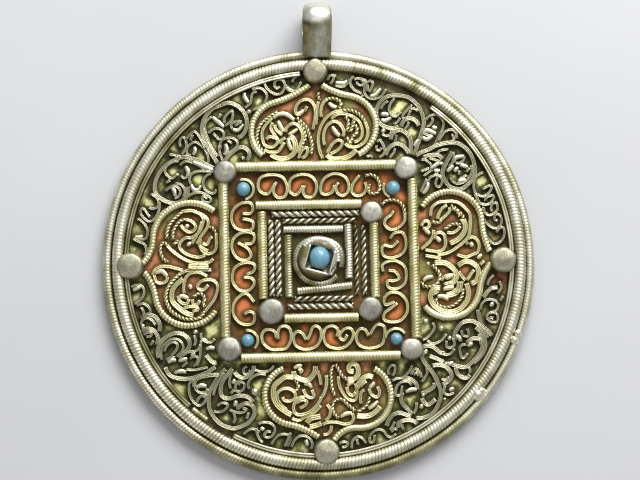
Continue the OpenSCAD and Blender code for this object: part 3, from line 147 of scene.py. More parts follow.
# Filigree wires, read off the photograph. A letter begins a wire and gives its kind, and the
# x,y of the places that it passes follow. An indented line goes on with the wire above it.
# Kinds: s thin ribbon, w wide ribbon, t twisted wire, b broad bright leaf
WIRES = {
    "tl": """
s -7.8,27.8 -7.4,26.8 -6.5,26 -5.6,25.8 -4.9,26.3 -4.6,27.3 -5,28 -5.6,28.1 -6.1,27.8 -6.2,27.1
  -5.8,26.7 -5.4,27
s -4.9,27.9 -4.3,26.8 -3.6,26.3 -2.9,26.4 -2.1,27.7
b -4.6,27.1 -4,26.5 -3.4,26.3
s -3.5,27.7 -3.2,28.3 -2.7,28.6
s -9.6,26.6 -8.8,26.8 -8,26.6 -7.4,25.7 -7.7,24.6 -8.3,24 -9.7,23.4
s -8.9,26.3 -9.6,26 -9.9,24.6 -10.8,23.8
b -10.8,26.2 -10.8,25.5 -10.2,24.6
s -8,24 -7.2,24.8
w -14.3,24.3 -13.3,24.6 -12.2,24.3 -11.3,23.6 -10.7,22.6 -10.5,21.5 -10.7,20.4 -11.2,19.6 -11.9,19.2
w -15,15.3 -16.3,17.6 -17.2,19.8 -17.3,20.8 -17.1,21.8 -16.6,22.8 -15.6,23.8 -14.3,24.3
s -15.8,22.6 -16.6,21.9 -16.9,20.9 -16.2,18.5 -15,16.4
b -15.7,22.5 -15,21.9 -14,20.9
s -14.8,22.3 -14.4,22.9
s -13.9,21.5 -13.8,22.4 -12.8,23.4 -12.6,22.7 -12.9,21.8 -13.8,21.1
s -11.2,21.7 -11.9,21.8 -12.7,21.5 -12.9,21.1 -12.7,20.6
b -12.7,20.6 -11.9,20.4 -11,21.3
s -11.4,21.6 -12.3,21.1
s -16.3,20 -15.8,20.5 -15,20.7 -14.3,20.4 -14,19.8 -14.2,19.2 -14.8,19.1 -15.6,20
s -14.5,17.6 -14.6,18.2 -14.3,18.9 -13.6,19.2 -12.8,19.2 -12.1,18.8 -12,18.1 -12.6,17.4 -13.3,16.9
  -14.1,15.6
s -14.7,18.2 -14.7,17.2 -14.2,15.6
b -13.8,18.3 -13.6,17.4 -13.9,16.6
s -13.5,18.9 -12.8,18.4
w -13.9,15.7 -13.3,16.6 -12.6,17.2 -11.8,17.7 -11,17.7 -10.3,17.1 -10.2,16.4 -10.5,15.7
s -11.5,16.2 -11.1,16.2 -11.2,15.8
s -19.7,19.1 -18.8,20.1 -18.2,20.1 -17.3,18.7 -16.9,17.6
s -19.1,18.9 -18.7,19.8
s -20.6,18 -20.7,18.8 -20.4,19.4 -19.9,19.3 -19.7,18 -20.4,16.8
s -19,16.6 -19.6,16.9 -19.6,17.7 -19.1,18.4 -18.4,18.7 -17.8,18.4 -17.1,17.8 -16.6,16.9 -16.4,16
  -16.5,15.2
b -18.5,17.9 -18.4,17.3 -18.7,16.7
w -15.6,14.6 -16.6,15.1 -17.8,15.8 -19,16.2 -20.2,16.4 -21.4,16 -22.5,15.4 -23.5,14.5 -24.1,13.6
  -24.5,12.4 -24.5,11.3 -24,10.4 -22.9,9.7 -21.9,9.4 -20.9,9.5 -20,10.1 -19.6,11 -19.6,11.8
s -22.3,16.9 -20.2,16.4
s -20.7,15.2 -20.1,15.7 -19.2,15.7 -17.5,14.8 -16.8,14.2
b -18.8,15.6 -15.7,14.3
s -21.1,13.9 -21.9,13.2 -22.7,13.7 -23,14.4 -22.7,15.1 -21.9,15.7 -20.9,15.8
b -19.9,15 -19.5,14.2 -19.6,13.5
s -19.6,13.5 -20.1,13.2 -20.6,13.7
s -22.8,12.5 -22.2,12.9
s -19.1,12.2 -19.3,13 -19,13.8 -18.1,14.2 -17.2,14.2 -15.5,14.1
b -19.1,12.2 -18.8,11.5 -18.1,11.3 -17.6,12
s -16,13.9 -16.8,13.5 -17.2,12.8 -17.2,12 -16.9,11.3 -16.1,10.8 -15.5,10.9 -15.2,11.4
s -22.9,11.3 -22.4,11.7 -21.6,12 -20.9,11.6 -20.7,10.9 -21.1,10.3 -21.6,10.2
b -22,11.8 -21.6,11.2 -21.5,10.5
s -21.5,12.4 -20.8,12.3 -20.3,11.9 -20,11.1 -20.3,10.3
s -19.7,10.2 -19.1,10.7 -18.1,11 -17.2,10.8 -16.5,10.4 -16.1,9.9 -16.3,9.5 -17,9.5 -17.4,9.9
  -17.3,10.4 -16.6,10
s -25.1,10.9 -24.3,10.3 -24,9.6 -24.1,8.9 -24.8,8.6 -25.5,8.8
s -23.8,9.6 -23.9,8.6 -24.2,7.7 -24.8,6.9 -25.5,6.7 -26.2,7.2 -26.7,7.9 -26.6,8.6 -26.2,8.6 -25.3,7.3
s -27.2,7.2 -26.5,6.7 -25.9,5.9 -25.7,5 -26,4.1 -26.9,4 -27.8,4.1
b -27.7,4.4 -27,4.3 -26.4,4.5
s -27.9,4.1 -27,3.6 -26.2,3.2 -25.9,2.3 -26.2,1.6""",
    "tr": """
s 1.9,27.9 2.2,28.5 2.8,28.6 3.2,28.4
s 2.9,28.6 2.7,27.9 2.3,27.3
b 3.1,27.5 4.4,27.4 4.9,27.8
s 3,27.1 3.6,26.9 4.3,26.9 4.9,27.4 5.3,28.1
s 5.9,28.4 5.5,28.1 5.3,27.4 5.6,26.7 6.2,26.1 7.1,25.7
s 5.9,27.9 6.4,28.1 7.1,28 7.7,27.7 7.8,27.2
s 6.3,27.6 6.5,27.2 7,27 7.4,27.3 7.3,27.8 6.9,27.8
s 8.1,26 8.5,26.5 8.8,27.2 8.7,27.6 8.3,27.7 7.8,27.4 7.5,26.6 7.5,25.8 7.9,25.2 8.6,24.9 9.4,25
  10.1,25.4 10.8,26.4
s 7.9,26.1 8,27.1
b 8.3,25.3 9.1,25.5 10,26.5
s 6.9,25.1 7.3,25.5
w 14.7,16.1 15.4,17.8 16.1,19.9 16.4,21 16.3,22.1 15.9,23.2 15.2,24.2 14.3,25 13.4,25.3 12.4,25.4
  11.2,25.3 10.2,24.8 9.5,23.9 9.2,22.8 9.3,21.8 9.8,21 10.7,20.5 11.7,20.3 12.6,20.6
s 12,24.9 11.5,24.3 11.2,23.6 11.2,22.9 11.6,22.3 12.2,22.1 12.9,22.8
s 11.4,23 11.8,22.6 12.3,22.5
b 9.9,22.5 10.6,22.5 11.1,22.3
b 9.9,21.7 10.5,21.5 11.5,22
s 9.9,23.3 10.3,24 11,24.5
s 12.8,21.9 12.4,21.3 11.8,20.9
s 14.7,23.9 14.2,23.4 13.2,22.3 13.4,21.8 13.9,21.9 14.4,23
s 14.4,23.2 15,23.3 15.6,22.9
w 12.9,20.5 13.2,21.2 13.8,21.7 14.5,21.7 15.2,21.3 15.6,20.6
s 14.1,21.2 13.9,20.7 13.3,19.9
w 11.3,18.6 11.5,19.3 12,19.8 12.7,20 13.4,19.7 14,19.1 14.3,18.3 14.2,16.2
s 12.2,19.3 11.9,18
w 10.4,16.2 10.8,17 11.4,17.6 12.2,17.9 13,17.6 13.6,17 14,16.3
s 11.9,17.2 11.7,16.6 11,15.7
b 10,19.7 10.4,20.2
s 10,19.5 10.4,19.2 11,19.2 11.4,19.7 11.4,20.2
s 9.2,18.2 9.6,18.5 9.9,18.1 10.2,17.4 10.3,16.7 9.9,16.1 9.4,15.8
s 9.1,17.7 9.1,17.1 9.5,16.9 9.9,17.3
s 7.5,16 8.1,16.1 8.5,15.8
b 14.8,17.5 15.5,18.5
w 15,16 15.9,16.5 17,16.9 18.2,17.5 19.4,17.8 20.4,17.9 21.4,17.8 22.3,17.3 23.1,16.5 23.6,15.5
  23.9,14.3 23.9,13.2 23.5,12.2 22.7,11.4 21.8,10.8 20.9,10.8 20,11.2 19.4,12 19,12.9 19.1,13.8
  19.6,14.8 20.6,16.5
s 23.4,14.4 23.5,13.6 23.2,12.8 22.6,12.1 21.9,11.7 21.1,11.6 20.5,12 20.2,12.6
s 18.1,16.3 19,16.8 20,16.9
s 20.1,17.8 21.3,18.8
s 20.7,16.5 20.8,15.8 20.5,14.8 20,14.2
b 20.8,14.9 21.1,15.6 22.4,15.8
s 22.4,15.8 22.2,15.2 21.7,14.8 21,14.8
b 21.7,14.6 22.9,14.1
b 19.7,13.5 20.7,14.4
b 20.8,13.5 21.4,14.1
s 21.5,12.2 22.7,12.9
s 21.5,13 21.6,13.6
b 21.3,12 22.6,12.1
s 22.6,13.4 23.2,14
s 16.8,21.5 17.1,22 17.9,22.3 18.5,22.3 19,21.9 19.4,21 19.2,20 18.8,19.3 17.9,17.6 17.5,17.2
s 16.8,20.4 17.4,20.8 17.8,21.5 17.6,21.9
b 16.2,19.3 16.8,19.9 18.2,19.3
b 16.1,18.9 16.7,18.5 17.7,19
s 16.4,19.4 17.1,19.1 17.6,19.1
b 17.6,20.4 18.4,20.2
s 18.6,18.2 19,18.9 19.6,19.6 20.3,19.9 20.9,19.8 21.3,19.2 21.3,18.5
s 20.7,18.1 20.9,18.6 20.6,19.3
w 16.1,15.7 16.8,16 17.7,16.1 18.5,16 19.1,15.4
s 15.8,15.4 16.4,15.4 17.1,14.9 17.4,14.4
s 17,15.6 18.8,15
b 17.2,14 17.8,14.4 18.6,14.8 19.1,14.6
s 15.7,13.6 17.1,14.1
s 16.1,12.9 17.5,13.9
s 16.9,12 17,12.5 17.7,12.9 18.2,13 18.7,12.6 18.9,11.9 18.5,11.2 18.1,11.2 17.9,11.8 18.2,12.7 18,13.6
b 15.9,10.2 16.4,10.7 16.8,11.5 16.6,12
s 15.6,10.4 16.6,12.4
b 17.7,13.7 18.7,13.6
s 25.2,13.3 24.6,13 24,12.5 23.7,11.6 23.7,10.8 24,10 24.8,9.6 25.4,9.7 26.1,10.3 26.4,11 26,11.2
  25,10.7
s 23.8,10 24.2,9.2 24.6,8.5 25.4,8.3 26,8.5 26.6,9.2 26.6,9.7 26,9.6 25.4,9.3 25.4,8.9
s 25,8 25.2,7.2 25.8,6.7 26.5,6.9 27.1,7.4 27.2,8.1 27,8.6 26.4,8.4 26.2,7.7 26.5,7.3
s 24.9,6.7 25.2,5.9 26,5 26.8,4.7 27.5,5 27.8,5.9 27.6,6.6 27.1,6.9 26.7,6.6 26.8,6 27.2,5.9
s 25,4.8 25.2,3.8 25.7,2.9 26.5,2.3 27.4,2.6 28,3.4 28.1,4.3 27.9,4.8 27.4,4.7 26.9,4.1""",
    "bl": """
s -28.3,-3.2 -27.4,-2.9 -26.6,-3.1 -26.3,-3.9 -26.6,-4.8 -27.4,-5.5 -27.8,-5.7
b -28,-3.7 -27.4,-3.4 -26.8,-3.2
s -27.5,-6 -26.6,-5.7 -25.8,-6.1 -25.4,-6.8 -25.5,-7.3
s -26.8,-6.2 -26.5,-6.7 -26.4,-7.5 -27,-7.9
w -26.6,-7.7 -25.8,-7.4 -24.9,-7.6 -24.3,-8.2 -24,-9 -24.1,-9.9
s -26.8,-9 -26.6,-8.2 -25.9,-7.9 -25.2,-8.2 -24.6,-9
b -26.6,-9.5 -26.5,-8.8
w -26.8,-9.9 -26,-9.5 -25.2,-9.6 -24.6,-10.2 -24.3,-11.1 -24.6,-11.9
s -26.5,-10.4 -25.9,-10.1 -25.3,-10.1 -25.4,-10.6 -26.1,-10.7
s -25,-11.3 -25.5,-12
w -24.3,-13.9 -24.4,-12.9 -24.1,-11.9 -23.4,-11 -22.6,-10.5 -21.7,-10.2 -20.6,-10.4 -19.8,-11.1
  -19.6,-11.9 -19.9,-12.7 -20.6,-13.4 -21.3,-13.9
s -23.8,-14.2 -23.9,-13.3 -23.7,-12.3 -23.1,-11.6 -22.3,-11.1 -21.3,-11.2 -20.7,-11.8 -20.6,-12.6
  -21,-13.2 -21.7,-13.7
s -23.4,-12.9 -23,-12.1 -22.3,-11.6 -21.6,-11.7 -21.4,-12.2 -21.8,-13 -22.4,-13.6
s -23.1,-14.2 -22.4,-13.8 -21.8,-13.9
b -22.9,-14.6 -22.2,-14.2 -21.7,-14.4
b -21.3,-14.4 -20.6,-14.2 -20,-14.1
s -20.7,-13.6 -19.8,-13.1 -18.9,-13 -18.3,-12.7 -18,-12
b -19.4,-13.6 -18.8,-13.2
s -19.6,-14.1 -19.1,-13.8 -18.6,-13.8 -18.4,-14.2 -18.7,-14.9 -19.1,-15.3
s -20,-14.6 -20.8,-15.3
s -18.9,-10.6 -18.7,-11.4 -18.9,-12.2
s -17.9,-10.3 -17.8,-11.1 -17.2,-11.6 -16.4,-11.7 -15.8,-11.2
b -17.8,-11.2 -17,-11.6
b -17.2,-12.7 -16.5,-12.5 -15.9,-12.7
w -17.2,-13.6 -16.8,-14.1 -16.2,-14.7 -15.6,-14.8
s -17.9,-11.4 -18,-12.6 -18.1,-13.8 -18.6,-15.2
w -23.3,-15.3 -22.9,-16.2 -22.3,-16.7 -21.4,-17 -20.3,-17.1 -19.3,-17 -18.3,-16.7 -17.3,-16.3
  -16.6,-15.9 -15.8,-15.4
b -21.9,-16.1 -21,-15.9 -20.2,-16.1
s -20.2,-15.7 -19,-15.8 -17.8,-15.6 -17,-15.4
s -19.1,-17.1 -19.7,-17.8 -19.8,-18.8 -19.6,-19.8 -19,-20.7 -18.3,-21.1 -17.7,-20.8 -17.2,-20
  -17.1,-19.4
w -19,-18.3 -18.9,-17.4 -18.2,-16.9 -17.2,-16.7 -16.2,-16.6 -15.3,-16.6
s -19,-18.2 -18.7,-18.8 -18.1,-19.2 -17.3,-19.1 -17,-18.6
b -18.7,-18.4 -18,-18.1 -17.2,-18.3
s -18.7,-20.6 -18.3,-19.9 -17.8,-19.6 -17.2,-19.4
b -17.7,-19.9 -17.2,-19.4
w -14.3,-15.7 -15,-16.4 -15.7,-17.3 -16.3,-18.3 -16.8,-19.3 -16.9,-20.4 -16.8,-21.6 -16.2,-22.8
  -15.4,-23.7 -14.4,-24.3 -13.2,-24.6 -12.1,-24.3 -11.1,-23.8 -10.3,-22.9 -10.1,-22 -10.5,-21.2
  -11.4,-20.9 -12.3,-21.3 -12.7,-21.8
w -13.3,-15.7 -14.1,-16.6 -14.8,-17.6 -15.1,-18.7 -15,-19.6 -14.4,-20.1 -13.6,-20.1 -12.7,-19.8
  -11.7,-19.8 -10.9,-20.1 -10.3,-20.8
s -14.6,-16.3 -15.3,-17.4 -15.9,-18.6 -16.2,-19.6
s -13.2,-15.8 -13.6,-16.7 -13.8,-17.8 -13.6,-18.7
b -13.3,-17.9 -12.9,-17.3
s -13.6,-19.4 -13.1,-18.9
w -13,-16.2 -12.6,-16.7 -11.8,-17.1 -10.9,-16.8 -10.2,-16 -10.1,-15.3
s -11.1,-15.4 -11.6,-15.7 -11.6,-16.4 -11,-16.6 -10.6,-16
s -11.8,-17.2 -12.6,-17.7 -12.9,-18.3 -12.8,-19 -12.1,-19.1 -11.6,-18.6 -11.6,-17.9 -12.2,-17.7
  -12.4,-18.2
b -13,-21.3 -12.8,-20.5
s -15.6,-21.2 -15,-20.8 -14.2,-20.9 -14.1,-21.3 -14.7,-21.9 -15.4,-22.1 -16.2,-22
s -13.8,-21.8 -13.2,-22.1 -12.4,-22.3 -11.7,-22.2 -11.3,-21.8 -11.9,-21.6
s -13.2,-22.3 -13,-23.1 -13.3,-23.8
s -11,-22.3 -11.3,-23.2
s -10.8,-18.8 -11,-18.2 -10.9,-17.7 -10.3,-17 -9.3,-16.6 -8.3,-16.7
s -10,-15.9 -9.2,-16.2 -8.1,-16.2 -7.3,-15.7 -7.2,-15.3
s -11.8,-25.5 -11.4,-25.1 -10.6,-24.7 -9.9,-24.9 -9.4,-25.3
s -9.6,-24 -8.9,-23.8 -7.9,-23.9 -7.2,-24.5 -7.2,-25.2 -7.7,-25.9 -8.4,-26 -8.7,-25.7 -8.4,-25.2
  -7.7,-25.2
s -9.9,-24.6 -9.8,-25.4 -9.4,-26.3 -8.9,-26.8
b -9.3,-24.6 -8.7,-24.9
s -7.7,-27.1 -7.2,-26.3 -6.5,-25.7 -5.6,-25.6 -5,-25.9 -4.9,-26.6 -5.3,-27.4
s -4.8,-25.4 -5.3,-26.5 -5.7,-27.4
s -4.7,-27.5 -4.3,-26.6 -3.6,-26 -2.8,-25.9 -2,-26.3 -1.6,-27.1 -1.8,-27.9
b -2.6,-26.5 -2.3,-27.4""",
    "br": """
s 2.4,-27.2 3,-26.9 3.6,-27.1 3.4,-27.6 2.7,-27.7
s 4.2,-27.9 4.4,-26.8 5.1,-26.2 5.8,-26.4 6.4,-27.2
s 5,-26.6 5.2,-27.4
s 6.9,-26.3 7.4,-25.6 8.2,-25.2 9,-25.4 9.6,-26.2 10.2,-26.4 10.9,-25.9
s 6.9,-26.3 7,-27.1 7.5,-26.9 7.7,-26
w 9.5,-24.7 9.8,-23.9 10.5,-23.1 11.4,-22.8 12.4,-23.1 13.2,-23.4
s 10,-25.3 10.5,-24.6 10.7,-24.1
s 10.2,-25.6 10.7,-25.1 11.1,-25.4
w 11.3,-25 11.3,-24.4 11.9,-24 12.9,-23.9 13.6,-24.1 14.1,-24.5
s 11.8,-24.5 12,-25.3
s 10.5,-18 11.2,-17.7 12,-17.6 12.6,-17.2 13.2,-16.5 13.6,-15.7
w 12,-17.8 13,-17.7 13.7,-18.1 14.2,-18.7 14.2,-19.4
s 11,-20.3 11,-19.5 11.3,-18.7 12,-18.2 12.9,-18.2 13.4,-18.7
s 11,-20.3 11.7,-20.1 11.9,-19.4 12,-18.8
b 12.5,-19.7 13.3,-19.4 14.2,-19.4
s 10,-17.1 10,-16.3 10.5,-15.7 11,-15.8 10.9,-16.8 10.5,-17.2
s 13.4,-17.1 13.7,-16.5 14.2,-16.3 14.8,-17 14.9,-17.6
s 13.8,-17.2 14.2,-16.8 14.5,-17.4
s 15.7,-16.1 15.8,-16.9 15.3,-17.8 14.9,-18.2
w 16.8,-18.4 16.8,-18.9 16.2,-19.4 15.4,-19.8 14.8,-20
w 14.9,-20.7 15.1,-21.2 15.7,-21.7 16.3,-21.4 16.9,-20.9
b 14.7,-22.2 14.9,-21.6
w 15.6,-13.7 15.1,-14.3 15.3,-15.1 16.1,-16.2 16.8,-17.2 17.3,-18.3 17.7,-19.4 17.7,-20.6 17.3,-21.7
  16.7,-22.7 15.9,-23.3 15,-23.6 13.9,-23.7
w 13.4,-23.1 12.8,-22.3 12.1,-21.6 11.8,-20.7 12,-19.8
s 13.6,-23 14,-22.2 14.1,-21.3
w 15.1,-13.2 15.7,-12.9 16.6,-13 17.2,-13.4 17.8,-13.9 18.4,-14.1
b 15.5,-14 15.9,-13.5
w 16.2,-14.4 17,-14.7 17.8,-15.1 18.4,-15.4
w 16.6,-15.9 17.4,-15.8 18.4,-16 19.1,-16.6 19.4,-17.2 19.3,-17.8 18.7,-18.4 18,-18.7
s 17.9,-17.9 18.4,-18 19.1,-17.6
w 18.4,-15.6 19.3,-15.7 20.3,-16 21.3,-16.2 22.1,-15.9 22.9,-15.2 23.7,-14.3 24.2,-13.3 24.2,-12.3
  23.8,-11.2
w 22.8,-15.6 23.9,-14.6 24.6,-13.4 24.6,-12.2 24.1,-11 23.3,-10.2
b 18.9,-15.8 19.8,-15.5
w 21.9,-12.6 22.4,-12.1 23.2,-11.9 23.9,-12.1 24.1,-12.8
b 22,-13 22.8,-12.6
s 21.9,-12.8 21.3,-12.8 20.8,-13.2 20.8,-13.7 21,-14.6 21.4,-14.8 22,-14.1
b 20.2,-11.5 20.7,-11.7 21,-12.3
s 21.1,-10.7 21.3,-11.4 22,-11.6 22.2,-11 22,-10.4
w 20.1,-12.2 20.1,-11.2 20.8,-10 21.6,-9.4 22.7,-9.3 23.7,-9.8 24.5,-10.7 25,-11.9
b 19.1,-12 19.6,-11.6
s 18.8,-12.2 18.8,-13 19.3,-13.3 20,-12.8 19.8,-11.8
s 18.1,-14.1 18.7,-14.3 19.4,-14.1 20,-13.4
b 18,-14.2 18.6,-13.9
s 15.2,-12 15.9,-11.7 16.6,-11 17.1,-10.2 16.9,-9.4
s 15.9,-12.1 16.7,-12.6 17.6,-12.4 18.3,-11.9 18.8,-11.2
w 20.1,-16.2 20.3,-17.1 21,-17.7 21.7,-17.8 22.2,-17.4
s 22,-16.2 22.3,-16.6 22.1,-17.1
b 19,-19.6 19.8,-19.3
s 18.4,-18.9 18.2,-19.8 18.8,-20.3 19.7,-20
s 25.3,-3.9 25.6,-3.1 26.3,-2.4
w 24.6,-5.8 25.2,-5 25.9,-4.4 26.8,-4.3
s 27.1,-3.3 27.4,-4.3 26.8,-5.2
s 27.5,-5.6 27.1,-6.3
s 24.1,-7.6 24.3,-6.8 24.9,-6.2 25.7,-6.1 26.5,-6.4 26.8,-7.1 26.3,-7.9 25.4,-8.1 24.9,-8.7
w 23.7,-7.6 23.9,-8.9 24.3,-10 25.1,-10.8 25.7,-11.6
s 25,-8.8 25.4,-8.2 26.4,-8.2 26.7,-8.9 26.4,-9.5 25.6,-9.4 25,-8.8
s 25.4,-8.8 26,-9
b 25.6,-7.1 26.1,-6.6""",
    "top": """
t -5.8,23.1 -6.5,22.8 -7.4,22.2 -8.3,21.4 -8.8,20.5 -9,19.6 -9,18.6 -8.7,17.8 -7.8,16.7
b -6.5,22.2 -5.8,22.7 -4.8,22.8 -4,22.4 -3.3,21.8
s -6.7,22.2 -7.7,21.1 -8.2,20.1 -8.2,19.1 -7.9,18.1 -7.2,17.7 -6.5,17.8 -5.9,18.4 -5.9,18.9
  -6.5,19.2 -7.2,19.3 -7.6,18.9
s -6.6,21.5 -6.9,20.8 -6.6,20 -5.8,18.8
s -6.3,21.1 -6.1,20.4 -5.2,19.5
b -5.8,21.7 -5,20
s -4,21.1 -4.5,20.7 -4.7,20
b -2.8,20.5 -4.2,19.6
s -4.2,21 -3.5,21.3 -2.7,20.9 -2.2,20 -2.1,19.1 -2.3,18.3 -2.9,16.8
w -4.1,19.3 -3.6,19 -3.3,18.4 -3.2,17.6 -3.5,16.7 -4.3,16.1 -5.4,15.9 -6.2,16.1 -7,16.6
b -4.3,19.1 -4.2,18.2 -3.8,17.2
s -4.7,19.1 -5.3,18.8 -5.6,18.2
s -4.9,18.4 -5.3,17.7 -5.9,17 -6.7,16.9 -7.4,17 -7.9,17.4
t -2.9,22.2 -2.2,21.5 -1.5,20.7 -1.1,19.7 -0.8,18.6 -0.7,17.6 -0.9,16.6
t -2.8,21.6 -2.1,20.8 -1.7,19.7 -1.7,19 -2.1,18.2 -2.9,16.7
s -2.8,15.9 -2.5,16.7 -2,17.4 -1.5,17.6 -1.4,17 -1.7,16.3 -2.3,15.9
s -2.3,22.7 -2.9,22.7 -3.1,23.4 -2.8,24.2 -2.1,24.8 -1.1,24.9 -0.4,24.3 -0.1,23.4 -0.1,22.3 -0.5,20.3
b -2.8,22.8 -2.3,22.9 -1.8,23.3
s -1.7,23.2 -1.3,23.9
s 0.9,15.8 0.5,16.8 0.3,18 0.3,19.3 0.6,20.5 1.1,21.5 1.9,22.4 2.9,23 4.1,23.2
t 4.1,23.2 5.2,23.2 6.2,22.8 7,22.1 7.5,21.3
s 7.5,21.3 7.8,20.3 7.8,19.3 7.4,18.4 6.7,17.8 5.8,17.5 4.9,17.6 4.3,18.1
s 1.2,17.9 1.1,19 1.3,20.2 1.9,21.1 2.7,21.5 3.5,21.2 4,20.5 4.2,19.8 4,19.2
s 2.3,21.9 3,22.5 4,22.7 5,22.5 6,22 6.7,21.2 7,20.2 6.9,19.2 6.3,18.5 5.7,18.3
b 2.4,20.7 2.9,19.9 3.5,19.2
s 1.6,16.6 2.1,17.6 2.8,18.4 3.5,18.6 3.9,18.2 3.6,17.5 2.9,16.9 2,16.5
w 1.5,16.4 2.2,15.8 3.2,15.7 4.4,15.9 5.3,16.4 6,17.1
t 4.5,22.3 4.9,21.6 4.8,20.7 4.6,20
t 5.8,22.1 5.7,21.3 5.2,19.9
t 5.9,20.9 6.2,20.5 6.1,19.7 5.7,19.3
t 4.6,19 5,18.3 5,17.8
t 5.7,19.5 5.1,18.2
s 0.8,22.2 0.8,23.3 1.1,24.3 1.8,25
t 1.8,25 2.7,25.1 3.5,24.8 3.9,24.2 3.5,23.6
b 3.2,23.7 2.6,23.9 2,24.4
t 0.5,26.1 0.4,25.6 0.6,24.8
s 0.4,24.6 0.2,23.5 0.1,22.3 -0.1,21""",
    "left": """
t -22.8,4.1 -22.8,5 -22.4,6.1 -21.7,7 -20.8,7.8 -20.3,8.1
s -20.3,8.1 -19.1,8.2 -18,7.8 -17.1,7.3 -16.6,6.6 -16.7,5.7 -17.3,4.8 -17.8,4.1 -18.2,3.2
t -21.9,3.9 -21.9,5 -21.5,5.9 -20.8,6.7 -20,6.9
s -20,6.9 -19.2,6.7 -18.6,6.1 -18.5,5.5 -19,5 -19.6,5 -20.3,5.5 -20.7,6.1
b -20,6 -19.5,5.7
s -17.9,7.8 -17.3,7 -17.5,5.9 -18.1,4.8 -19.1,4.1 -20,4.1 -20.8,3.4 -20.9,2.6 -20.3,1.9 -19.4,1.4
  -18.1,1.1 -17.1,1.4
s -18.4,3.2 -17.8,3.8 -17.9,2.9 -17.5,2.1 -16.7,1.6 -15.8,1.9 -15.4,2.7 -15.4,4.7
t -15.4,4.7 -15.9,5.5 -16.4,5.8
s -17.5,3.2 -16.8,3 -16.4,3.8 -16,4.2
s -18,2.9 -17.2,2.3 -16.6,2
b -19.8,3 -19.2,3.3
t -22.7,3 -23.4,3.5 -23.8,2.9 -23.8,2 -23.4,1 -22.7,0.5
s -22.8,3 -22.2,2.3 -21.5,1.7 -20.5,1 -19.5,0.5 -18.3,0.2 -16.6,0.3 -15.9,0.8
t -21.8,3.1 -21.1,3.7
s -17.5,6.5 -18,5 -18.8,3.7 -19.1,3.2
s -16.2,-0.8 -17.4,-0.8 -18.8,-0.8 -20,-0.9 -20.9,-1.3
t -20.9,-1.3 -22,-2.3 -22.8,-3.5 -23.1,-4.8 -22.8,-6 -22.2,-7 -21.2,-7.7 -20.3,-8.1 -19.1,-8.2
  -18,-7.9 -17.3,-7.1
s -17.3,-7.1 -16.7,-6.4 -15.9,-5.4 -15.4,-4.2 -15.3,-3.2 -15.8,-2.5 -16.7,-2.3 -17.7,-2.5 -18.3,-3.1
  -18.1,-3.7 -17.4,-3.8 -16.7,-3.1
s -16.8,-1.8 -17.9,-1.2 -19.1,-1.2 -19.9,-1.7 -20.3,-2.6 -20.4,-3.6 -20.3,-4.3
w -20.5,-2.1 -21.5,-2.9 -22.1,-3.8 -22.2,-4.8 -22,-5.6 -21.1,-6.5 -20,-7.3 -19,-7.6
b -21.4,-5 -20.6,-4.7 -19.7,-5.1
s -21.3,-5.1 -20.6,-5.8 -19.9,-5.8 -19.6,-5.2
t -19,-4.8 -18.4,-4.4 -17.7,-4.4 -17.3,-5.1 -17.5,-6 -17.2,-6.4
s -19.1,-5.2 -19,-6 -18.4,-6 -18,-5.4
s -20.4,-6.5 -19.6,-6.3 -18.6,-6.4 -18.3,-6.8 -19.1,-7
b -24.6,-1.1 -23.6,-0.9 -22.8,-1.7
s -24.8,-1.5 -24.4,-2.5 -23.7,-2.7 -23,-2.4 -22.8,-1.8
s -25,-1.5 -24.7,-0.7 -23.9,-0.2 -22.7,-0.2 -21.5,-0.5 -20.5,-0.8
w -19.7,-0.2 -18.8,-0.3 -17.9,-0.3 -16.6,-0.4
b -19.6,-3 -19.2,-3.6""",
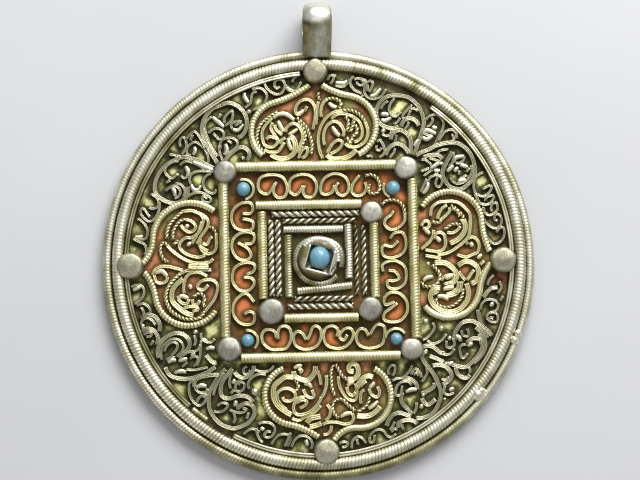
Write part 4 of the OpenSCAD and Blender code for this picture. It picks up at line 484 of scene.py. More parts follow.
    "right": """
s 17,6.7 17.1,7.7 17.6,8.4 18.4,8.8 19.4,8.9 20.4,8.9 21.4,8.6 22.2,7.9 22.9,7 23,5.8 22.9,4.6
  22.6,3.5 21.9,2.7 21,2 20.1,1.4 19.2,1 17.8,0.8
s 19.5,8.4 18.7,7.8 18.2,7 18,6.3
s 19.9,8 19.8,7.3 18.4,6
t 20.1,8.4 20.8,7.9 21.5,7.2 22,6.5 21.5,5.9
t 20.3,7.8 21,7.5 21.4,6.6
w 21.9,6.1 22.2,5.3 22.1,4.4 21.5,3.5 20.7,2.9 19.8,2.5
t 19.1,4.7 19.8,5.2 20.5,5.5 21.5,5.3
s 19.4,4.2 20.2,4.1 21,4.5 21.5,5.1
s 15.5,5.2 15.9,5.8 16.4,6 16.8,5.4 16.4,4.9 15.9,4.7
b 15.8,5 16.8,4
t 17.2,5.9 18,5.7 18.6,5.9
s 17.4,4.6 17.3,3.8 16.8,2.9 16,2.2 15.4,1.7
s 17.6,3.2 17.7,4 18.3,4.2 18.9,3.9 19.1,3.2 19.1,2.3 18.7,1.6 18,1.3 17.1,1.4 16,1.6
b 17.8,3.5 18.4,2.8
s 22.5,2.3 22.3,3 23,3.4 23.6,3.3 24.1,2.7 24.2,1.9 23.9,1.1 23,0.7 22.1,0.4 20.8,0.8
b 22.9,2.6 23.3,2
s 16,0.7 17.2,0.5 18.4,0.2
b 23.9,0.2 24.6,0.7
w 17.4,-0.4 18.7,-0.4 19.6,-0.8 20.4,-1.6 20.7,-2.4 20.3,-3.2 19.5,-3.8
s 18.3,-3 19,-2.4 20.1,-2.3 20.2,-2.9 19.6,-3.4 18.7,-3.6
b 18.9,-2.7 20.1,-2.4
t 17,-0.7 17.6,-1.3 18.1,-2.1 18,-3 17.4,-3.7 16.4,-4 15.6,-3.8 15.4,-3.2
b 15.6,-3.1 16.2,-2.6 17.1,-2.5
s 20.9,-3.3 20.8,-4.2 20.1,-4.8 19,-5.2
s 21.4,-3.3 21.2,-4.4 20.6,-5
w 22.1,-3.6 22.4,-4.8 22.2,-6 21.6,-6.9 20.7,-7.6 19.4,-7.9 18.1,-7.6 17.1,-6.8 16.6,-5.7 16.8,-4.8
  17.4,-4.2 18.1,-4.2
t 17.4,-5.8 17.7,-6.7 18.7,-7.1 19.7,-7 20.8,-6.3 21.4,-5.4 21.6,-4.4
s 17,-5.2 17.6,-4.8 18,-4.4
b 18.6,-4.4 19.4,-4.2 20.2,-4.2
b 17.7,-5.5 18.6,-5.5 19.3,-6
s 18.7,-5.5 19.9,-5.4 20.8,-5
w 20.9,-0.9 21.9,-0.3 22.9,-0.4 23.8,-1.1 24,-2.1 23.6,-3.2 22.8,-3.7
s 22.2,-3.1 22.7,-2.4 23.3,-1.6
s 21,-1.8 21.5,-2.6 22,-3.2
s 24.3,-0.8 24.9,-0.2""",
    "bottom": """
w -4.2,-17.2 -5.3,-17.1 -6.2,-17.6 -7.1,-18.4 -7.3,-19.4 -7.2,-20.3 -6.6,-21.4 -5.6,-22.2 -4.6,-22.8
s -6.6,-20.6 -6.7,-19.6 -6.1,-19 -5.3,-18.8 -4.6,-19 -4,-19.6 -4.1,-20.3 -4.8,-20.7 -5.6,-20.6
  -5.9,-20.1
s -6.6,-20.6 -6,-21.4 -5.3,-22
t -4.1,-17.3 -3.7,-18 -3.5,-18.7 -4,-19.2
b -4.1,-15.8 -3.5,-15.5 -2.9,-15.5
w -4.2,-16.3 -4,-17 -3.1,-17.5 -2.2,-17.7 -1.5,-17.2 -1,-16.4 -0.9,-15.6
s -3.5,-15.9 -2.9,-16.2 -3.3,-16.5
b -2.6,-18.3 -2,-18.2 -1.5,-18.8
s -2.8,-19 -2.4,-19.9 -1.7,-20.3 -1.2,-20 -1.5,-19.1
s -2.5,-20.2 -3.3,-20.2 -4,-20.8 -4.3,-21.6 -4.1,-22.5 -3.4,-22.8 -2.4,-22.6 -1.4,-22 -0.5,-21
  -0.1,-20.2
s -3.9,-21 -3.1,-20.6 -2.3,-20.8 -2.6,-21.4 -3.4,-21.8
s -4.6,-23.3 -3.6,-23.6 -2.7,-23.2 -1.4,-22.6 -0.2,-21.5
w -2.4,-24 -1.8,-23.4 -1,-23.2 -0.3,-23.1
w -2,-24.6 -1,-24.4 -0.2,-24.1
s -0.6,-16.3 -0.3,-17.2 -0.1,-18.4
t 1.8,-15.4 1.4,-16.5 1.4,-17.7 1.5,-18.9 1.9,-20
s 0.7,-17 0.7,-18.2 0.4,-19.4 0,-20.2
t 2.1,-15.3 2.4,-15.8 3,-17 3.8,-17.7
w 3.8,-17.7 4.8,-17.6 5.4,-17 5.5,-16.2 5.2,-15.5 4.6,-15.3 4.1,-15.7 4.2,-16.4 4.8,-16.5
s 2.5,-17.2 2.6,-18.4 3.1,-19.6 3.9,-20.6 4.8,-20.8 5.2,-20.1 5.2,-19.1 5,-18.3
s 3.7,-18.8 3.9,-19.6 4.5,-20.1 5,-19.6
b 3.8,-18.6 4.3,-18.2 4.8,-18.1
w 5.2,-19 5.6,-18.2 6.2,-17.5 7,-17.2 7.7,-17.4
s 5.7,-18.8 6.2,-18.3 6.7,-18
b 7.1,-19 7.9,-18.2
s 7,-19.1 7.4,-20 8.2,-20.4 8.6,-19.7 8.3,-18.8
s 6.3,-19.3 5.9,-19.6 5.7,-20.6 5.8,-21.3
t 7.1,-20.3 6.8,-21.3 6.1,-22 5.2,-22.5
b 8.3,-21 7.6,-21.6 6.9,-22.1
w 8.6,-21.8 8,-22.5 7,-23.1 6,-23.2 5.1,-23.1
t 4.8,-22.4 4.4,-21.9 3.7,-21.3 3,-20.6 2.3,-20.6 1.7,-21 1.5,-21.9 1.8,-22.8 2.4,-23.4
b 2.7,-23.2 3.4,-22.8 4.4,-22.7
s 4.4,-22.7 4.6,-23.4 4.2,-24.1 3.2,-24.3 2,-24 0.7,-24 0,-24.3
s 0,-25.8 0.7,-25.7 1.2,-25.1 1.3,-24.5
s 0.7,-21.3 1.2,-22.1 1,-23.1 0.4,-23.7""",
}
# The sixteen hearts: a wire or two each, bent to a bow whose ends curl inwards
HEARTS = {
    "top": """
s -6.4,12.1 -7,11.1 -7.6,10.5 -8.4,10.7 -8.9,11.4 -8.8,12.7 -8,13.3 -6.6,13.4 -5.4,13.1 -4.8,12.3
  -4.6,11.1 -5,10.1 -6,9.9 -6.6,10.6 -6.6,11.5 -6.2,12.3
s -2.2,11.7 -2.8,10.7 -3.4,10.3 -4.1,10.7 -4.3,11.5 -4,12.7 -3,13.3 -1.8,13.4 -0.8,13 -0.2,12.1
  -0.2,10.9 -0.8,10 -1.8,10 -2.2,10.8 -2,11.7
s 2.6,11.7 2.2,10.7 1.4,10.3 0.6,10.5 0.5,11.5 1,12.7 2.2,13.4 3.2,13.4 4.2,12.9 4.7,11.9 4.6,10.7
  3.8,10.1 3,10.5 2.8,11.5 3.2,12.1
s 6.4,13.2 5.4,11.9 5.2,10.6 6,10 7,10.4 7.4,11.3 7.2,12.1
t 7.3,13.1 8.2,13.2 9,12.7 9.4,11.7 9.2,10.6 8.2,10.3 7.6,10.9 8,11.7""",
    "left": """
s -11.4,7.6 -10.2,7.6 -9.8,8.4 -10.2,9.2 -11.4,9.2 -12.4,8.6 -13,7.6 -13,6.4 -12.4,5.4 -11.2,5
  -10,5.2 -9.8,6.2 -10.4,6.6 -11.4,6.8
s -11.2,3 -10.2,3 -9.7,3.6 -9.8,4.5 -11,4.8 -12.2,4.4 -13,3.4 -13,2 -12.2,0.8 -11,0.5 -10.2,1.2
  -10.6,2.2 -11.4,2.8 -12.2,3.2
s -11,-1.6 -9.9,-1.2 -9.7,-0.2 -10.8,0.2 -12.2,-0.2 -13,-1.2 -13,-2.8 -12,-4 -10.6,-4 -9.8,-3
  -10.2,-2.2 -11.4,-2
s -9.8,-5.8 -11,-4.5 -12.2,-5 -13,-6.2 -13,-7.6 -12.2,-8.8 -11,-9.2 -10,-8.8 -9.9,-7.6 -10.6,-7.2
  -11.4,-7.6""",
    "right": """
t 9.7,8.6 10.4,9.2 11.8,9.2 12.8,8.4 13.1,7.2
s 13.1,7.2 13,6 12,5 10.8,4.8 10,5.6 10.2,6.4 11,7 11.4,7.6
s 10.8,3.4 11.4,4.2 12.6,4.3 13.1,3.4 13.1,2 12.4,1 11,0.5 9.8,0.8 9.5,1.8 9.9,2.4 11,2.2 12,3
s 9.6,-1.6 9.5,-0.6 10.2,-0.1 11.6,0 12.8,-0.8 13.1,-2 12.8,-3.4 11.6,-4.2 10.4,-4 10.2,-3 11.2,-3
  12,-2.6 11.4,-1.6 10.4,-1.4
s 11.2,-6.2 9.8,-6.6 9.7,-5.6 10.6,-4.8 12,-5 13,-6.2 13,-7.8 12,-9 10.4,-9.2 9.5,-8.7 9.7,-7.8
  10.8,-7 11.6,-6.4""",
    "bottom": """
s -6.6,-11.2 -7,-10.2 -8.2,-10 -8.8,-10.8 -8.6,-12 -7.6,-12.9 -6.4,-13 -5.2,-12.8 -4.5,-11.6
  -4.5,-10.3 -5,-9.6 -6,-9.6 -6.4,-10.4 -6.4,-11.4
s -2.2,-11.6 -2.8,-10.6 -3.6,-10.4 -4.1,-11.2 -3.8,-12.4 -2.8,-13 -1.6,-13 -0.6,-12.5 0,-11.4
  0,-10.2 -0.6,-9.6 -1.2,-9.8 -1.6,-10.8 -2,-11.6
s 2.4,-11.2 2.6,-10.2 1.8,-9.6 0.8,-9.9 0.4,-11 0.8,-12.4 2,-13 3.4,-12.9 4.5,-12 4.9,-10.8 4.4,-10
  3.4,-10.2 2.8,-11.2 3.4,-11.8 4,-11
s 7.2,-11.2 6.6,-10.2 5.8,-10.2 5.3,-11.2 5.6,-12.4 6.6,-13 8,-13 9.2,-12.4 9.6,-11 9.5,-9.8
  8.6,-9.5 8,-10 7.4,-11""",
}
# Silver and brass grains, and ends of wire melted to a ball. Columns: x, y, radius
GRAINS = {
    "tl": ((-10.15, 23.2, 0.5), (-21.1, 13.7, 0.3)),
    "tr": (),
    "bl": ((-18.7, -10.1, 0.45), (-10, -19.2, 0.75)),
    "br": ((15.8, -9.2, 0.6), (18.1, -10.3, 0.55), (18.3, -20.9, 0.3), (15.1, -20.2, 0.4)),
    "right": ((16.4, -0.5, 0.35),),
}

# Half lobes. Columns: centre x and y, radius, angle at the bar, angle where the ogee begins,
# cusp x and y
LOBES = {
    "top": ((-5.1, 20, 4.75, 229, 105, -0.9, 27.2), (4.3, 20.75, 4.8, -66, 80, 1, 27.2)),
    "left": ((-19.3, 3.8, 5.6, 49, 178, -26.6, 0.3), (-19.7, -4.2, 4.95, -35, -172, -26.3, -1)),
    "right": ((19.9, 5.6, 4.85, 149, 2, 25.8, 1.2), (19.4, -4, 4.7, 219, 352, 25.9, -0.6)),
    "bottom": ((-4.2, -19.9, 4.35, 110, 258, -0.6, -26.2), (5.6, -20.2, 4.7, 61, -95, 1.6, -26.7)),
}
# Wire loops round the corner beads. Columns: middle x and y, first and last radius, first and
# last angle
BEAD_LOOPS = (
    (-11.2, 11.3, 1.55, 1.5, -80, 110),
    (11.4, 11.1, 1.45, 1.4, 150, 250),
    (-10.95, -11.55, 1.55, 1.5, -50, 100),
    (11.3, -11.75, 1.6, 1.5, 175, 30),
)

# Length of a facet along a path, and along a lobe's wire
STEP = 0.2
LOBE_STEP = 0.1
UP = np.array([0.0, 0.0, 1.0])

# Paths


def arc(x, y, r0, r1, a0, a1, step=STEP):
    """Points of an arc whose radius changes evenly."""
    length = abs(math.radians(a1 - a0)) * max(r0, r1)
    t = np.linspace(0, 1, max(6, math.ceil(length / step)) + 1)
    a = np.radians(a0 + (a1 - a0) * t)
    r = r0 + (r1 - r0) * t
    return np.column_stack([x + r * np.cos(a), y + r * np.sin(a)])


def circle(r):
    a = np.radians(np.arange(0, 360, 0.25))
    return np.column_stack([r * np.cos(a), r * np.sin(a)])


def spline(points, step=STEP):
    """Points of a smooth line through a few points."""
    p = np.vstack([2 * points[0] - points[1], points, 2 * points[-1] - points[-2]])
    line = []
    for a, b, c, d in zip(p, p[1:], p[2:], p[3:]):
        count = max(2, math.ceil(np.hypot(*(c - b)) / step))
        t = (np.arange(count) / count)[:, None]
        cubic = (3 * (b - c) + d - a) * t ** 3 + (2 * a - 5 * b + 4 * c - d) * t ** 2 + (c - a) * t
        line.append(b + cubic / 2)
    return np.vstack(line + [points[-1:]])


def read_wires(table):
    """(kind, path) of each wire in a table, where a letter begins a wire."""
    wires = []
    for word in table.split():
        if word.isalpha():
            wires.append((word, []))
        else:
            wires[-1][1].append([float(number) for number in word.split(",")])
    return [(kind, spline(np.array(places))) for kind, places in wires]


def half_lobe(h):
    """Points along a half lobe: its round part, then the ogee that runs to the cusp."""
    x, y, r, a_bar, a_end, cusp_x, cusp_y = h
    a = math.radians(a_end)
    end_x = x + r * math.cos(a)
    end_y = y + r * math.sin(a)
    heading = a_end + math.copysign(90, a_end - a_bar)
    turn = math.degrees(math.atan2(cusp_y - end_y, cusp_x - end_x)) - heading
    turn = (turn + 180) % 360 - 180
    ogee_r = math.hypot(cusp_x - end_x, cusp_y - end_y) / (2 * math.sin(abs(math.radians(turn))))
    ogee = arc(
        end_x + ogee_r * math.cos(a), end_y + ogee_r * math.sin(a),
        ogee_r, ogee_r, a_end + 180, a_end + 180 + 2 * turn, LOBE_STEP)
    return np.vstack([arc(x, y, r, r, a_bar, a_end, LOBE_STEP), ogee[1:]])


def lobe_outline(side, outward):
    """The outline of a lobe moved outward, whose feet run in to the middle of the disc."""
    halves = []
    for h in LOBES[side]:
        half = half_lobe(h)
        way = 1 if h[4] > h[3] else -1
        halves.append(half - lefts(half) * outward * way)
    return np.vstack([halves[0], halves[1][::-1], [[0, 0]]])


def straight(x, y, length, turn):
    """The two ends of a bar."""
    half = length / 2 * np.array([math.cos(math.radians(turn)), math.sin(math.radians(turn))])
    return np.array([[x, y] - half, [x, y] + half])


def lefts(path):
    """Unit vectors to the left of a path at each of its points."""
    way = np.gradient(path, axis=0)
    way /= np.linalg.norm(way, axis=1)[:, None]
    return np.column_stack([-way[:, 1], way[:, 0]])


def along(path, s, closed=False):
    """Places and left vectors at distances s along a path."""
    if closed:
        path = np.vstack([path, path[:1]])
    steps = np.linalg.norm(np.diff(path, axis=0), axis=1)
    where = np.concatenate([[0], np.cumsum(steps)])
    if closed:
        s = np.mod(s, where[-1])
    left = lefts(path)
    if closed:
        left[0] = left[-1] = (left[0] + left[-1]) / 2
    at = [np.interp(s, where, path[:, k]) for k in (0, 1)]
    side = [np.interp(s, where, left[:, k]) for k in (0, 1)]
    return np.stack(at, -1), np.stack(side, -1)


def path_length(path, closed=False):
    if closed:
        path = np.vstack([path, path[:1]])
    return np.linalg.norm(np.diff(path, axis=0), axis=1).sum()


def smooth_noise(count, spacing):
    """Random numbers between -1 and 1 that change slowly along a line."""
    knots = RNG.uniform(-1, 1, max(2, math.ceil(count / spacing)) + 2)
    return np.interp(np.arange(count) / spacing, np.arange(len(knots)), knots)


def inside(outline, places):
    """Which places lie inside a closed outline."""
    x, y = places[:, 0], places[:, 1]
    hit = np.zeros(len(places), bool)
    for (x0, y0), (x1, y1) in zip(outline, np.roll(outline, -1, axis=0)):
        if y0 != y1:
            cross = x0 + (y - y0) * (x1 - x0) / (y1 - y0)
            hit ^= ((y0 > y) != (y1 > y)) & (x < cross)
    return hit


def rise(value, low, high):
    """0 below low, 1 above high and evenly between them. low may be above high."""
    return np.clip((value - low) / (high - low), 0, 1)


# Meshes


class Parts:
    """Grids and fans of points that become one mesh. Each point has a crest, which is 0 in a groove
    and 1 on a rubbed top, and whose low values paint shade as well as patina, and a tone, which tells
    one strand from the next."""

    def __init__(self):
        self.points, self.crest, self.tone = [], [], []
        self.corners, self.sizes = [], []
        self.count = 0

    def add_points(self, points, crest, tone):
        points = points.reshape(-1, 3)
        self.points.append(points)
        self.crest.append(np.broadcast_to(np.asarray(crest, float).ravel(), len(points)))
        self.tone.append(np.full(len(points), tone))
        self.count += len(points)

    def add_faces(self, faces):
        self.corners.append(faces.ravel())
        self.sizes.append(np.full(len(faces), faces.shape[1]))

    def grid(self, points, crest, tone=0.5, ring=False, tube=True, caps=True):
        """Rows of points run along a path. A tube closes each row, and a ring joins the last row
        to the first. The points of a row go round from the left of the path over its top."""
        rows, cols = points.shape[:2]
        index = np.arange(rows * cols).reshape(rows, cols) + self.count
        self.add_points(points, crest, np.broadcast_to(tone, (rows, cols)).ravel())
        first, last = index[:1, ::-1], index[-1:]
        if tube:
            index = np.hstack([index, index[:, :1]])
        if ring:
            index = np.vstack([index, index[:1]])
        quads = np.stack([index[:-1, :-1], index[:-1, 1:], index[1:, 1:], index[1:, :-1]], -1)
        self.add_faces(quads.reshape(-1, 4))
        if tube and caps and not ring:
            self.add_faces(first)
            self.add_faces(last)

    def build(self, name, material, node):
        """Makes the object, which rides on the root body and stands for this CAD node."""
        mesh = bpy.data.meshes.new(name)
        points = np.concatenate(self.points) * MM
        corners = np.concatenate(self.corners)
        sizes = np.concatenate(self.sizes)
        mesh.vertices.add(len(points))
        mesh.vertices.foreach_set("co", points.ravel())
        mesh.loops.add(len(corners))
        mesh.loops.foreach_set("vertex_index", corners)
        mesh.polygons.add(len(sizes))
        mesh.polygons.foreach_set("loop_start", np.concatenate([[0], np.cumsum(sizes)[:-1]]))
        mesh.polygons.foreach_set("use_smooth", np.ones(len(sizes), bool))
        mesh.update(calc_edges=True)
        for label, values in (("crest", self.crest), ("tone", self.tone)):
            layer = mesh.attributes.new(label, "FLOAT", "POINT")
            layer.data.foreach_set("value", np.concatenate(values).astype(np.float32))
        mesh.validate()
        mesh.materials.append(material)
        piece = bpy.data.objects.new(name, mesh)
        bpy.context.scene.collection.objects.link(piece)
        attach(piece, "root")
        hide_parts(node)


def sweep(parts, path, section, tone=0.5):
    """A strand along a path. Columns of its section: distance to the left, height, crest. The first
    two may change along the path."""
    left = lefts(path)
    rows = []
    for aside, height, _ in section:
        aside, height = (np.broadcast_to(value, len(path)) for value in (aside, height))
        rows.append(np.column_stack([path + left * aside[:, None], height]))
    crest = np.broadcast_to([crest for _, _, crest in section], (len(path), len(section)))
    parts.grid(np.stack(rows, 1), crest, tone)


def strip(parts, path, width, foot, top):
    """A thin strand that stands on edge, with a rounded top."""
    half = width / 2
    shoulder, crown = top - 0.6 * width, top - 0.08 * width
    # Crest 0 at the foot: painted shade and patina low down
    sweep(parts, path, (
        (half, foot, 0), (half, shoulder, 0.6), (0.6 * half, crown, 1),
        (-0.6 * half, crown, 1), (-half, shoulder, 0.6), (-half, foot, 0)))


def ribbon(parts, path, width, strands, foot, top, groove=0.16, tone=None):
    """Strands side by side on edge, soldered to one ribbon with a groove between each two. Its top
    leans and waves a little."""
    lean = RNG.uniform(-0.12, 0.12)
    wave = 0.03 * smooth_noise(len(path), 8) - RNG.uniform(0, 0.06)
    flat = 0.35 / strands
    # Columns: place across the ribbon from -1 to 1, drop below the top, crest
    shape = [(-1, 0.8 * groove, 0.5)]
    for k in range(strands):
        middle = (2 * k + 1) / strands - 1
        shape += [(middle - flat, 0.02, 1), (middle + flat, 0, 1)]
        if k < strands - 1:
            shape.append(((2 * k + 2) / strands - 1, groove, 0))
    shape.append((1, 0.8 * groove, 0.5))
    section = [(place * width / 2, top - drop + lean * place * width + wave, crest)
               for place, drop, crest in shape]
    # Crest 0 at the feet, as in the grooves: painted shade and patina
    section = [(-width / 2, foot, 0)] + section + [(width / 2, foot, 0)]
    sweep(parts, path, section[::-1], RNG.uniform(0, 1) if tone is None else tone)


def leaf(parts, path, foot, top):
    """A short broad strap, bright on its flat top and narrower at its ends."""
    half = LEAF_W / 2 * (0.7 + 0.3 * np.sin(np.pi * np.linspace(0, 1, len(path))))
    # Columns: place across the leaf from -1 to 1, height, crest
    shape = ((1, foot, 0.1), (1, top - 0.12, 0.8), (0.8, top, 1),
             (-0.7, top - 0.06, 1), (-1, top - 0.2, 0.6), (-1, foot, 0.1))
    # Dim at the feet: painted shade and patina
    sweep(parts, path, [(half * place, height, crest) for place, height, crest in shape], 1.0)


def twist(parts, path, width, foot, lay, hand=1, sides=6, per_turn=10, tone=1.0):
    """Two wires twisted round each other. lay is the length of a turn, and hand its way round."""
    total = path_length(path)
    count = max(4, round(total / lay * per_turn))
    s = np.linspace(0, total, count + 1)
    at, left = along(path, s)
    wire_r = width / 4
    orbit = width / 2 - wire_r
    way = np.column_stack([left[:, 1], -left[:, 0], np.zeros(len(s))])
    left = np.column_stack([left, np.zeros(len(s))])
    slope = 2 * math.pi * orbit / lay
    psi = 2 * np.pi * np.arange(sides) / sides
    for start in (0, math.pi):
        theta = hand * (2 * math.pi * s / lay) + start
        out = np.cos(theta)[:, None] * left + np.sin(theta)[:, None] * UP
        turn = -np.sin(theta)[:, None] * left + np.cos(theta)[:, None] * UP
        tangent = way + hand * slope * turn
        tangent /= np.linalg.norm(tangent, axis=1)[:, None]
        side = np.cross(tangent, out)
        rim = np.cos(psi)[None, :, None] * out[:, None] + np.sin(psi)[None, :, None] * side[:, None]
        centre = np.column_stack([at, np.zeros(len(s))]) + out * orbit
        points = centre[:, None] + rim * wire_r
        points[..., 2] += foot + width / 2
        # Dim where each wire faces the other: painted shade and patina
        crest = 0.5 + 0.5 * np.cos(psi)[None, :] * np.ones(len(s))[:, None]
        parts.grid(points, np.clip(crest * 1.3 - 0.1, 0, 1), tone)


def wound(parts, path, d, middle_z, pitch, starts=1, ring=False, *, depth, sides=14, smooth=None,
          dull=None, dark=0.45, flat=0.9, rng=RNG):
    """A core wound closely with wire.

    starts is how many wires run side by side, which slants the ridges, the other way if it is below
    0. depth is the grooves' depth in pitches, and dark how much darker they are, which paints patina
    and shade. smooth(places, angle) gives from 0 to 1 how far the ridges are rubbed away, and dull how
    much darker the wire is, which paints patina in places and painted shade and dark reflections in
    others. The angle is 0 at the left side of the path and half of pi at the top. A flat below 1
    squares the section a little. middle_z may change along the path."""
    per_turn = 5
    jitter = 0.09
    total = path_length(path, ring)
    turns = max(2, round(total / pitch))
    rows = turns * per_turn + (0 if ring else 1)
    turn = np.arange(rows) / per_turn
    phi = np.radians(np.linspace(-90, 270, sides + 1))
    ramp = np.ones(rows) if ring else np.clip(np.minimum(turn, turns - turn) / abs(starts), 0, 1)
    skew = starts * (phi - np.pi / 2) / (2 * np.pi)
    wobble = jitter * rng.uniform(-1, 1, turns + 1)[np.floor(turn + 0.5).astype(int) % (turns + 1)]
    s = (turn + wobble)[:, None] + skew[None, :] * ramp[:, None]
    s = s * total / turns
    if not ring:
        s = np.clip(s, 0, total)
    if np.ndim(middle_z):
        middle_z = np.interp(s, np.linspace(0, total, len(path)), middle_z)
    at, left = along(path, s, ring)
    arch = np.sqrt(np.clip(1 - (2 * np.mod(turn, 1) - 1) ** 2, 0, 1))[:, None] * np.ones(sides + 1)
    # The hidden underside has no grooves
    groove = (1 - arch) * np.clip((np.sin(phi) + 0.9) / 0.5, 0, 1)[None, :]
    rubbed = 0 if smooth is None else smooth(at, phi[None, :] * np.ones((rows, 1)))
    r = d / 2 - depth * pitch * groove * (1 - 0.9 * rubbed)
    across, upward = (np.sign(v) * np.abs(v) ** flat for v in (np.cos(phi), np.sin(phi)))
    points = np.concatenate([at + left * (r * across)[..., None], (middle_z + r * upward)[..., None]], -1)
    # Lower in the grooves, and on the sides and underside: painted shade and patina
    crest = (1 - dark * groove * (1 - 0.7 * rubbed)) * (0.5 + 0.5 * np.clip(1.3 * np.sin(phi), 0, 1))
    if dull is not None:
        crest = crest * (1 - dull(at, phi[None, :]))
    parts.grid(points, crest, rng.uniform(0, 1), ring=ring, tube=False)
    if not ring:
        for end in (points[:1, ::-1], points[-1:]):
            parts.add_points(end, 0.7, 0.5)
            parts.add_faces(np.arange(sides + 1)[None] + parts.count - sides - 1)


def revolve(parts, x, y, profile, around, crest, dent, tone=0.5):
    """A solid of revolution about an upright axis. profile goes (radius, height) from the foot up to
    the middle of the top. dent(angle, step) gives a share added to the radius, and a height."""
    angle = np.linspace(0, 2 * np.pi, around, endpoint=False)
    profile = np.array(profile, float)
    dr, dz = dent(angle[None, :], np.linspace(0, 1, len(profile))[:, None])
    r = profile[:, 0][:, None] * np.ones(around) * (1 + dr)
    z = profile[:, 1][:, None] * np.ones(around) + dz
    points = np.stack([x + r * np.cos(angle), y + r * np.sin(angle), z], -1)
    crest = np.broadcast_to(np.asarray(crest, float).reshape(-1, 1), r.shape)
    parts.grid(points[::-1], crest[::-1], tone, caps=False)

# Materials


class Look:
    """A material whose nodes are added with short calls."""

    def __init__(self, name):
        self.material = bpy.data.materials.new(name)
        self.material.use_nodes = True
        self.tree = self.material.node_tree
        self.shader = self.tree.nodes["Principled BSDF"]
        self.place = self.tree.nodes.new("ShaderNodeTexCoord").outputs["Object"]

    def link(self, value, socket):
        if isinstance(value, bpy.types.NodeSocket):
            self.tree.links.new(value, socket)
        else:
            socket.default_value = value

    def attribute(self, name):
        node = self.tree.nodes.new("ShaderNodeAttribute")
        node.attribute_name = name
        return node.outputs["Fac"]

    def math(self, kind, a, b, clamp=False):
        node = self.tree.nodes.new("ShaderNodeMath")
        node.operation = kind
        node.use_clamp = clamp
        self.link(a, node.inputs[0])
        self.link(b, node.inputs[1])
        return node.outputs[0]

    def noise(self, per_mm, detail, roughness, stretch=None):
        """Noise with this many features to the millimetre."""
        node = self.tree.nodes.new("ShaderNodeTexNoise")
        node.inputs["Scale"].default_value = per_mm / MM
        node.inputs["Detail"].default_value = detail
        node.inputs["Roughness"].default_value = roughness
        place = self.place
        if stretch:
            turn = self.tree.nodes.new("ShaderNodeMapping")
            turn.inputs["Scale"].default_value = stretch[:3]
            turn.inputs["Rotation"].default_value = (0, 0, math.radians(stretch[3]))
            self.link(place, turn.inputs["Vector"])
            place = turn.outputs["Vector"]
        self.link(place, node.inputs["Vector"])
        return node.outputs["Fac"]

    def span(self, value, low, high, to_low=0.0, to_high=1.0):
        """Maps low to to_low and high to to_high, smoothly and no further."""
        node = self.tree.nodes.new("ShaderNodeMapRange")
        node.interpolation_type = "SMOOTHSTEP"
        self.link(value, node.inputs["Value"])
        ends = {"From Min": low, "From Max": high, "To Min": to_low, "To Max": to_high}
        for label, number in ends.items():
            node.inputs[label].default_value = number
        return node.outputs["Result"]

    def ramp(self, value, stops):
        """Colours at places from 0 to 1."""
        node = self.tree.nodes.new("ShaderNodeValToRGB")
        marks = node.color_ramp.elements
        while len(marks) < len(stops):
            marks.new(0.5)
        for mark, (where, colour) in zip(marks, stops):
            mark.position = where
            mark.color = (*colour, 1)
        self.link(value, node.inputs["Fac"])
        return node.outputs["Color"]

    def mix(self, share, a, b):
        node = self.tree.nodes.new("ShaderNodeMix")
        node.data_type = "RGBA"
        self.link(share, node.inputs["Factor"])
        self.link(a if isinstance(a, bpy.types.NodeSocket) else (*a, 1), node.inputs["A"])
        self.link(b if isinstance(b, bpy.types.NodeSocket) else (*b, 1), node.inputs["B"])
        return node.outputs["Result"]

    def shade(self, reach):
        """How open a place is, from 0 in a corner to 1, over this reach in millimetres."""
        node = self.tree.nodes.new("ShaderNodeAmbientOcclusion")
        node.samples = 6
        node.inputs["Distance"].default_value = reach * MM
        return node.outputs["AO"]

    def near(self, x, y, reach):
        """1 at a place, falling to 0 at this reach."""
        node = self.tree.nodes.new("ShaderNodeVectorMath")
        node.operation = "DISTANCE"
        self.link(self.place, node.inputs[0])
        node.inputs[1].default_value = (x * MM, y * MM, ON_SHEET * MM)
        return self.span(node.outputs["Value"], reach * MM, 0.35 * reach * MM)

    def bump(self, height, depth, strength=0.5):
        node = self.tree.nodes.new("ShaderNodeBump")
        node.inputs["Strength"].default_value = strength
        node.inputs["Distance"].default_value = depth * MM
        self.link(height, node.inputs["Height"])
        self.link(node.outputs["Normal"], self.shader.inputs["Normal"])

    def finish(self, colour, roughness, metallic):
        self.link(colour, self.shader.inputs["Base Color"])
        self.link(roughness, self.shader.inputs["Roughness"])
        self.shader.inputs["Metallic"].default_value = metallic
        return self.material


def worn_and_shaded_metal(name, tarnish_and_shade, middle, rubbed, always=0.0, rough=(0.55, 0.28), reach=0.7,
               grain=5.0, grain_depth=0.02, stretch=None):
    """Metal that is darker in its grooves and corners, which paints patina and shade, and rubbed bright
    on its tops. always is how rubbed a mesh is that has no crests of its own."""
    look = Look(name)
    patch = look.noise(0.35, 2, 0.5)
    fine = look.noise(grain, 3, 0.65, stretch)
    wear_and_shade = look.math("MULTIPLY", look.attribute("crest"), 0.75)
    wear_and_shade = look.math("ADD", wear_and_shade, look.span(patch, 0.3, 0.7, always - 0.12, always + 0.16))
    wear_and_shade = look.math("ADD", wear_and_shade, look.span(fine, 0.3, 0.7, -0.08, 0.1))
    wear_and_shade = look.math("ADD", wear_and_shade, look.math("MULTIPLY", look.attribute("tone"), 0.12))
    # Painted shade: darker in corners and between parts, by ambient occlusion, which also stands for patina
    # there
    wear_and_shade = look.math("MULTIPLY", wear_and_shade, look.span(look.shade(reach), 0.15, 0.75, 0.25, 1), True)
    colour = look.ramp(wear_and_shade, ((0.0, tarnish_and_shade), (0.42, middle), (0.82, rubbed)))
    look.bump(fine, grain_depth)
    return look.finish(colour, look.span(wear_and_shade, 0.2, 0.9, *rough), 0.95)


